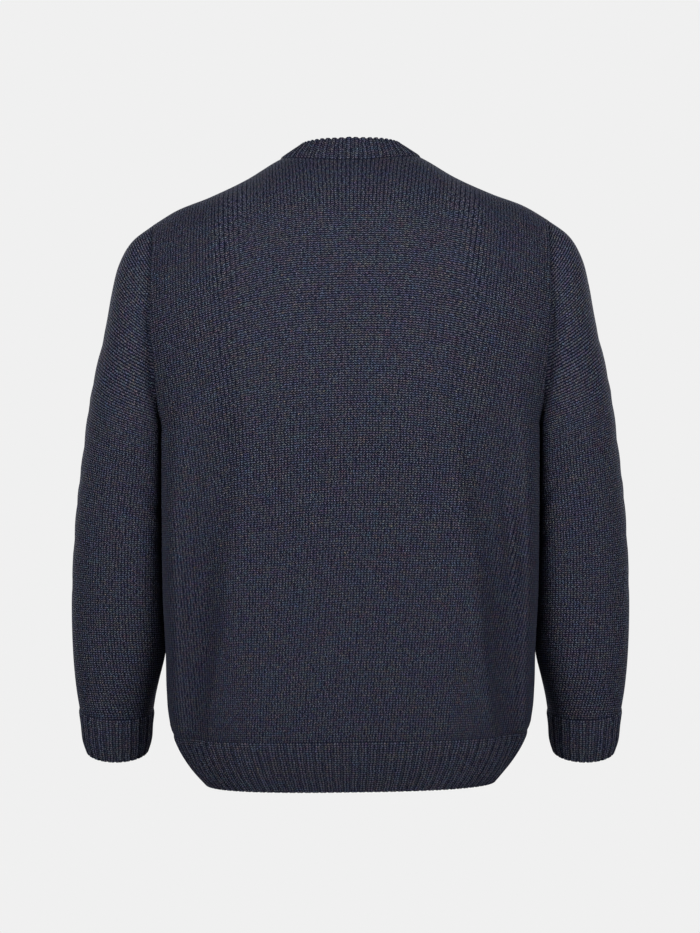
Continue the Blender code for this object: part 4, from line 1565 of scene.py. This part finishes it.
    def lay_out(self) -> tuple[Array, Array]:
        """Lays out the sleeve on the +X side and sets the wall directions round the armhole.

        Returns:
            The outer points, with the first row on the armhole, and the wall directions.
        """
        armhole = self.panels.armhole(self.panels.points, -1 if self.side > 0 else 0)
        ways = self.panels.armhole(self.panels.out, -1 if self.side > 0 else 0)
        if self.side < 0:
            armhole, ways = armhole * (-1, 1, 1), ways * (-1, 1, 1)
        angles = self.angles()
        rows = refine(np.array([armhole, *(self.ring(row, angles) for row in self.rings)]), self.row_steps)
        lead = self.row_steps + 1
        rows[lead:] = self.rest_on_body(rows[lead:])
        own = wall_directions(rows, closed=True)
        seam = fold_directions(ways, own[0], armhole)
        own[0] = seam
        self.panels.set_armhole(-1 if self.side > 0 else 0, seam * (self.side, 1, 1))
        return rows, own

    def course_heights(self, points: Array) -> Array:
        """Gives the place along the wales of each point.

        The courses are lines that leave the outer line at a known slope, which soon falls to a share of it.

        Args:
            points: The outer points.

        Returns:
            The place, from the points' x and z.
        """
        levels = np.linspace(self.courses.keys[0], self.courses.keys[-1], self.outer_samples)
        order = np.argsort(points[:, 0, 2])
        outer_x = np.interp(levels, points[order, 0, 2], points[order, 0, 0])
        slope = np.radians(self.courses.at("degrees", levels))
        rise, run = np.gradient(levels), np.gradient(outer_x)
        apart = np.abs(rise * np.cos(slope) - run * np.sin(slope)) / self.courses.at("spacing", levels)
        v = np.cumsum(apart[::-1])[::-1] * self.gauge.course
        flat = points.reshape(-1, 3)
        made = np.empty(len(flat))
        for i, (x, _, z) in enumerate(flat):
            inward = np.maximum(outer_x - x, 0.0)
            fallen = (1 - self.slope_kept) * self.slope_reach * (1 - np.exp(-inward / self.slope_reach))
            reached = levels - np.tan(slope) * (self.slope_kept * inward + fallen)
            made[i] = np.interp(z, reached, v)
        return made.reshape(points.shape[:2])

    def cloth(self, points: Array) -> Array:
        """Cloth coordinates of the sleeve, with one more column than its points, split at the underarm.

        Args:
            points: The outer points.

        Returns:
            For each point the distance across the wales, positive over the back, and along them.
        """
        v = self.course_heights(points)
        half = points.shape[1] // 2
        closed = np.concatenate((points, points[:, :1]), axis=1)
        v = np.concatenate((v, v[:, :1]), axis=1)
        levels = np.linspace(0.0, v.max(), self.cloth_samples)
        steady = np.maximum.accumulate(v, axis=0)
        lines = np.empty((len(levels), v.shape[1], 3))
        for j in range(v.shape[1]):
            for k in range(3):
                lines[:, j, k] = np.interp(levels, steady[:, j], closed[:, j, k])
        step = np.linalg.norm(np.diff(lines, axis=1), axis=-1)
        none = np.zeros((len(levels), 1))
        over_back = np.concatenate((none, np.cumsum(step[:, :half], axis=1)), axis=1)
        over_front = -np.cumsum(step[:, : half - 1 : -1], axis=1)[:, ::-1]
        reach = np.concatenate((over_back, over_front[:, 1:], none), axis=1) / self.stretch_across
        front_end = over_front[:, 0] / self.stretch_across
        u = np.empty_like(v)
        for j in range(v.shape[1]):
            u[:, j] = np.interp(v[:, j], levels, reach[:, j])
        back = np.stack((u[:, : half + 1], v[:, : half + 1]), axis=-1)
        start = np.stack((np.interp(v[:, half], levels, front_end), v[:, half]), axis=-1)[:, None]
        front = np.stack((u[:, half + 1 : -1], v[:, half + 1 : -1]), axis=-1)
        return np.concatenate((start, front, back), axis=1)

    def knit(self, points: Array, own: Array) -> Knit:
        """Gives the sleeve with its creases and the groove beside the armhole seam.

        Args:
            points: The outer points.
            own: The wall directions.

        Returns:
            The piece, mirrored and leaned into place.
        """
        cloth = self.cloth(points)
        down = steps_along(points, axis=0)
        half = points.shape[1] // 2
        ring = np.linalg.norm(np.roll(points, -1, axis=1) - points, axis=-1)
        round_back = np.concatenate((np.zeros((len(points), 1)), np.cumsum(ring[:, :half], axis=1)), axis=1)
        round_front = -np.cumsum(ring[:, : half - 1 : -1], axis=1)[:, ::-1][:, 1:]
        around = np.concatenate((round_back, round_front), axis=1)[:, : points.shape[1]]
        back_down = down[:, half // 2 : half // 2 + 1]
        drawn = sum(crease.draw(around, -back_down) for crease in SLEEVE_CREASES)
        end = np.minimum(down, down[-1:] - down)
        offset = -drawn * ease(end / self.crease_fade)
        dip = ease(down / self.groove_starts) * np.exp(-((down / self.groove_width) ** 2))
        offset -= self.groove * dip * self.groove_weight(points)
        outer = points + own * offset[..., None]
        inner = outer - own * self.gauge.wall
        outer = self.body.leaned(outer, self.side, sleeve=True) * (self.side, 1, 1)
        inner = self.body.leaned(inner, self.side, sleeve=True) * (self.side, 1, 1)
        # The distance that sets the painted shade along the armhole and the cuff.
        seam = np.minimum(down * self.armhole_shade_share, down[-1:] - down)
        order = self.split_at_underarm(points.shape[1])
        if self.side < 0:
            cloth = cloth * (-1, 1)
        lift = np.ones(points.shape[:2])
        above = ease((points[..., 2] - self.pull_rises_from) / self.pull_rise)
        pull = self.pull_low + (self.pull_high - self.pull_low) * above
        outer, inner, seam, pull = (grid[:, order] for grid in (outer, inner, seam, pull))
        return Knit(outer, inner, cloth, seam, lift, pull, closed=True)

    def groove_weight(self, points: Array) -> Array:
        """Gives how much of the groove each point has.

        Args:
            points: The outer points.

        Returns:
            The shares: 1 at the back and the front, 0 over the shoulder and below the armhole.
        """
        over = ease(np.sin(self.angles() / 2) ** 2 / self.groove_over_shoulder)[None]
        armhole_z = points[:1, :, 2]
        return over * ease((armhole_z - self.groove_ends) / self.groove_fade) * np.ones((len(points), 1))

    @staticmethod
    def split_at_underarm(columns: int) -> Array:
        """Order of the columns that starts and ends at the underarm."""
        return np.roll(np.arange(columns), columns // 2)


@dataclass
class Rib:
    """One rib: a wall whose outer face has rounded knit wales and deep purl channels."""

    kind: RibKind
    gauge: Gauge
    columns_per_wale: int = 6
    ramp: float = 0.005
    relief_at_seam: float = 0.25
    edge_radius: float = 0.0013
    inner_rounding: float = 0.6
    # Added to the distance to the seam, so that the painted shade along the seam stays faint on a rib.
    painted_shade_offset: float = 0.0011
    pull: float = 0.24

    def knit(self, rows: Array, out: Array, closed: bool, wales: int, free_row: int) -> Knit:
        """Raises the rib on a plain wall.

        Args:
            rows: Plain outer points.
            out: Wall directions.
            closed: Whether the rib is a ring.
            wales: How many wales the rib has.
            free_row: The row of its free edge, 0 or -1.

        Returns:
            The piece.
        """
        count = rows.shape[1]
        place = np.arange(count) / (count if closed else count - 1) * wales
        away = steps_along(rows, axis=0)
        if free_row == -1:
            away = away[-1:] - away
        joined = away.max(axis=0, keepdims=True) - away
        lift = self.kind.lift(place)[None] * np.ones((len(rows), 1))
        relief = lift * ease(self.relief_at_seam + (1 - self.relief_at_seam) * joined / self.ramp)
        rounding = np.clip(1 - away / self.edge_radius, 0.0, 1.0)
        turned = self.edge_radius * (1 - np.sqrt(np.maximum(1 - rounding**2, 0.0)))
        outer = rows + out * (self.gauge.rib_relief * relief - turned)[..., None]
        inner = rows - out * (self.gauge.rib_wall - self.inner_rounding * turned)[..., None]
        across = np.concatenate((place, [wales])) if closed else place
        v = np.concatenate((joined, joined[:, :1]), axis=1) if closed else joined
        uv = np.stack(((across[None] + 0.5) * self.gauge.wale + 0 * v, v), axis=-1)
        seam = joined + self.painted_shade_offset
        pull = np.full_like(lift, self.pull)
        # The lift attribute, which the finish reads to paint shade into the purl channels.
        raised = VALLEY_LIFT + (1 - VALLEY_LIFT) * lift
        return Knit(outer, inner, uv, seam, raised, pull, closed)


@dataclass
class HemRibs:
    """The 2x1 ribs below the back and the front."""

    body: BodyShape
    gauge: Gauge
    repeats: int = 54
    plain_rows: int = 20
    edge_rows: tuple[float, ...] = (0.0, 0.0004, 0.0009, 0.0016)
    edge_height: float = 0.003
    cut: tuple[float, float] = (0.570, 0.067)

    def knit(self, panel: Panel) -> Knit:
        """Makes the rib below one panel, drawn in towards its cast-off edge.

        Args:
            panel: The body panel.

        Returns:
            The piece, leaned into place.
        """
        rib = Rib(RibKind.TWO_BY_ONE, self.gauge)
        wales = self.repeats * 3
        shares = np.linspace(-1.0, 1.0, wales * rib.columns_per_wale + 1)
        body = self.body
        edge = body.hem_bottom + np.array(self.edge_rows)
        plain = np.linspace(body.hem_bottom + self.edge_height, body.hem_top, self.plain_rows)
        levels = np.concatenate((edge, plain))
        rows = np.array([body.section_points(panel, float(z), shares)[0] for z in levels])
        out = wall_directions(rows, closed=False) * panel.value
        out[[0, -1], :, 2] = 0.0
        out[:, [0, -1], 1] = 0.0
        out = unit(out)
        made = rib.knit(rows, out, False, wales, free_row=0)
        made.outer, made.inner = body.leaned(made.outer), body.leaned(made.inner)
        return made


@dataclass
class Cuffs:
    """The 2x1 ribs below the sleeves."""

    body: BodyShape
    gauge: Gauge
    repeats: int = 24
    row_steps: int = 7
    row_height: float = 0.0022
    edge_rows: tuple[float, float] = (0.0016, 0.0008)
    cut: tuple[float, float] = (0.270, 0.0535)
    # The same sizes as a sleeve's rings.
    rings: tuple[tuple[float, ...], ...] = (
        (0.3135, -0.6280, 0.2280, -0.6310, 0.0410, -0.048, 14),
        (0.3113, -0.6460, 0.2303, -0.6480, 0.0395, -0.051, 14),
        (0.3096, -0.6640, 0.2317, -0.6650, 0.0375, -0.054, 15),
        (0.3052, -0.6785, 0.2360, -0.6790, 0.0340, -0.057, 19),
    )

    def knit(self, side: int) -> Knit:
        """Makes the cuff on one side.

        Args:
            side: 1 for the cuff on +X, -1 for the other.

        Returns:
            The piece, mirrored and leaned into place.
        """
        rib = Rib(RibKind.TWO_BY_ONE, self.gauge)
        wales = self.repeats * 3
        count = wales * rib.columns_per_wale
        angles = 2 * math.pi * np.arange(count) / count
        rows = refine(np.array([Sleeve.ring(row, angles) for row in self.rings]), self.row_steps)
        back_from_edge = np.array(self.edge_rows)[:, None, None] / self.row_height
        edge = rows[-1:] + (rows[-2:-1] - rows[-1:]) * back_from_edge
        rows = np.concatenate((rows[:-1], edge, rows[-1:]))
        out = wall_directions(rows, closed=True)
        made = rib.knit(rows, out, True, wales, free_row=-1)
        for name in ("outer", "inner"):
            points = self.body.leaned(getattr(made, name), side, sleeve=True) * (side, 1, 1)
            setattr(made, name, points)
        return made


@dataclass
class Collar:
    """The 1x1 neck rib, picked up from the neckline and standing on it."""

    body: BodyShape
    gauge: Gauge
    panels: BodyPanels
    ribs: int = 55
    bulge: float = 0.0008
    scallop: float = 0.0009
    scallop_middle: float = 0.6
    columns_per_wale: int = 4
    ramp: float = 0.003
    scallop_rows: int = 3
    row_shares: tuple[float, ...] = (*np.linspace(0, 0.94, 12), 0.97, 0.985, 1.0)
    # How far the top edge stands in from the neckline and up from it.
    blend: float = 1.5
    back: tuple[float, float] = (0.010, 0.026)
    side: tuple[float, float] = (0.024, 0.014)
    front: tuple[float, float] = (0.017, 0.024)
    cut: tuple[float, float] = (0.526, 0.028)

    def stand(self, points: Array) -> Array:
        """Gives the step from the neckline to the top edge.

        Args:
            points: Points of the neckline.

        Returns:
            The step at each.
        """
        away = points * (1, 1, 0) - (0, self.body.shoulder_seam_y, 0)
        facing = unit(away)
        end = np.where(away[:, 1:2] > 0, self.back, self.front)
        share = np.abs(facing[:, 1:2]) ** self.blend
        lean, rise = (np.array(self.side) + (end - self.side) * share).T
        return -facing * lean[:, None] + rise[:, None] * (0, 0, 1)

    def knit(self) -> Knit:
        """Makes the collar, with a scalloped top edge, and sets the wall directions of the neckline.

        Returns:
            The piece, leaned into place.
        """
        rib = Rib(RibKind.ONE_BY_ONE, self.gauge, self.columns_per_wale, self.ramp)
        neckline = self.panels.neckline(self.panels.points)
        panel_ways = self.panels.neckline(self.panels.out)
        plain = self.rows(neckline)
        seam = unit(wall_directions(plain, closed=True)[0] + panel_ways)
        self.panels.set_neckline(seam)
        wales = 2 * self.ribs
        count = wales * rib.columns_per_wale
        place = np.arange(count) / count * len(neckline)
        loop = np.arange(len(neckline) + 1)
        around = [np.interp(place, loop, np.append(neckline[:, k], neckline[0, k])) for k in range(3)]
        rows = self.rows(np.stack(around, axis=-1))
        out = wall_directions(rows, closed=True)
        shared = [np.interp(place, loop, np.append(seam[:, k], seam[0, k])) for k in range(3)]
        out[0] = unit(np.stack(shared, axis=-1))
        made = rib.knit(rows, out, True, wales, free_row=-1)
        rise = self.scallop * (made.lift[-1] - self.scallop_middle)
        made.outer[-self.scallop_rows :, :, 2] += rise
        made.inner[-self.scallop_rows :, :, 2] += rise
        made.outer, made.inner = self.body.leaned(made.outer), self.body.leaned(made.inner)
        return made

    def rows(self, neckline: Array) -> Array:
        """Lays plain rows from the neckline to the top edge.

        Args:
            neckline: Points of the neckline.

        Returns:
            The rows.
        """
        step = self.stand(neckline)
        outward = unit(neckline * (1, 1, 0)) * self.bulge
        return np.array([neckline + step * s + outward * math.sin(math.pi * s) for s in self.row_shares])


@dataclass
class Sweater:
    """The whole garment."""

    gauge: Gauge = field(default_factory=Gauge)
    body: BodyShape = field(default_factory=BodyShape)

    def build(self) -> None:
        """Builds and dresses every piece, each in place of its solid."""
        maker = PieceMaker(
            face=WoolFinish("knitted_wool_face").build(),
            reverse=WoolFinish("knitted_wool_reverse", face=Face.REVERSE).build(),
            # The ribs are the panels' yarn, set lighter to make up for the painted shade in their channels
            # and along their seams.
            rib=WoolFinish("ribbed_wool", yarn="#61616f").build(),
        )
        panels = BodyPanels(self.body, self.gauge)
        for side, word in ((1, "left"), (-1, "right")):
            sleeve = Sleeve(self.body, self.gauge, panels, side)
            knit = sleeve.knit(*sleeve.lay_out())
            maker.add(word + "_sleeve_knit", word + "_sleeve", knit, sleeve.cut, ribbed=False)
        collar = Collar(self.body, self.gauge, panels)
        maker.add("neck_ribbing", "neck_rib", collar.knit(), collar.cut, ribbed=True)
        hem, cuffs = HemRibs(self.body, self.gauge), Cuffs(self.body, self.gauge)
        for panel in Panel:
            maker.add(panel.word + "_knit", panel.word, panels.knit(panel), panels.cut[panel], ribbed=False)
            node = panel.word + "_hem_rib"
            maker.add(panel.word + "_hem_ribbing", node, hem.knit(panel), hem.cut, ribbed=True)
        for side, word in ((1, "left"), (-1, "right")):
            maker.add(word + "_cuff_ribbing", word + "_cuff", cuffs.knit(side), cuffs.cut, ribbed=True)


@dataclass(frozen=True)
class FloorPaint:
    """Matt white paint, rolled on a smooth floor. It looks pale and even, with a faint glow to the camera."""

    name: str = "matt_white_paint"
    paint: str = "#e6e6e6"
    pale: str = "#f0f0f0"
    glow: float = 0.80

    def build(self) -> bpy.types.Material:
        """Makes the material.

        Returns:
            The material. Its glow reaches the camera alone, so that it doesn't light the wool.
        """
        made = Shader(self.name)
        seen = made.add("LightPath").outputs["Is Camera Ray"]
        glow = made.add("MapRange", {0: seen, 3: 0.0, 4: self.glow})
        skin = made.add(
            "BsdfPrincipled",
            {
                "Base Color": linear(self.paint),
                "Roughness": 0.9,
                "Emission Color": linear(self.pale),
                "Emission Strength": glow,
            },
        )
        made.add("OutputMaterial", {"Surface": skin})
        return made.material


@dataclass
class Studio:
    """The photograph's camera, soft light all round, four softboxes at the corners and a pale floor."""

    distance: float = 3.0
    aim_x: float = 0.0006
    aim_z: float = -0.3494
    frame_height: float = 1.0636
    sensor: float = 36.0
    floor_z: float = -1.45
    floor_radius: float = 3.0
    floor_sides: int = 128
    ambient: float = 0.18
    softbox_place: tuple[float, float, float] = (1.74, 2.46, 0.50)
    softbox_size: float = 1.5
    softbox_spread: float = math.radians(44)
    softbox_aim: tuple[float, float] = (0.13, -0.19)
    softbox_watts: float = 7.15
    pale: str = "#f0f0f0"

    def build(self) -> None:
        """Makes the camera, the lights and the floor."""
        scene = bpy.context.scene
        scene.view_settings.view_transform = "Standard"
        data = bpy.data.cameras.new("camera")
        data.sensor_width = self.sensor
        data.lens = self.sensor / 2 / (self.frame_height / 2 / self.distance)
        camera = bpy.data.objects.new("camera", data)
        camera.location = (self.aim_x, self.distance, self.aim_z)
        camera.rotation_euler = (math.pi / 2, 0.0, math.pi)
        scene.collection.objects.link(camera)
        scene.camera = camera
        self.surround()
        for word, ahead in (("back", 1), ("front", -1)):
            for side in (1, -1):
                x, y, z = self.softbox_place
                self.light(f"{word}_softbox", (x * side, y * ahead, z))
        self.floor()

    def surround(self) -> None:
        """Makes the pale backdrop, which lights the wool less than it shows to the camera."""
        world = bpy.data.worlds.new("studio")
        world.use_nodes = True
        nodes, links = world.node_tree.nodes, world.node_tree.links
        back = nodes["Background"]
        back.inputs["Color"].default_value = linear(self.pale)
        seen = nodes.new("ShaderNodeLightPath")
        level = nodes.new("ShaderNodeMapRange")
        level.inputs["To Min"].default_value = self.ambient
        level.inputs["To Max"].default_value = 1.0
        links.new(seen.outputs["Is Camera Ray"], level.inputs["Value"])
        links.new(level.outputs["Result"], back.inputs["Strength"])
        bpy.context.scene.world = world

    def light(self, name: str, place: tuple[float, float, float]) -> None:
        """Adds a square softbox aimed at the chest on its own side, so that its light falls off downward.

        Args:
            name: The light's name.
            place: Where it stands.
        """
        data = bpy.data.lights.new(name, "AREA")
        data.shape = "SQUARE"
        data.size = self.softbox_size
        data.spread = self.softbox_spread
        data.energy = self.softbox_watts
        lamp = bpy.data.objects.new(name, data)
        lamp.location = place
        aside, level = self.softbox_aim
        aim = Vector((math.copysign(aside, place[0]), 0.0, level)) - Vector(place)
        lamp.rotation_euler = aim.to_track_quat("-Z", "Y").to_euler()
        bpy.context.scene.collection.objects.link(lamp)

    def floor(self) -> None:
        """Adds the round floor."""
        shape = bmesh.new()
        bmesh.ops.create_circle(shape, cap_ends=True, segments=self.floor_sides, radius=self.floor_radius)
        bmesh.ops.translate(shape, verts=shape.verts, vec=(0.0, 0.0, self.floor_z))
        mesh = bpy.data.meshes.new("floor")
        shape.to_mesh(mesh)
        shape.free()
        mesh.materials.append(FloorPaint().build())
        plate = bpy.data.objects.new("floor", mesh)
        bpy.context.scene.collection.objects.link(plate)


def main() -> None:
    """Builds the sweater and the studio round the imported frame."""
    logging.basicConfig(level=logging.INFO, format="%(name)s %(message)s")
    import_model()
    Sweater().build()
    Studio().build()


if __name__ == "__main__":
    main()
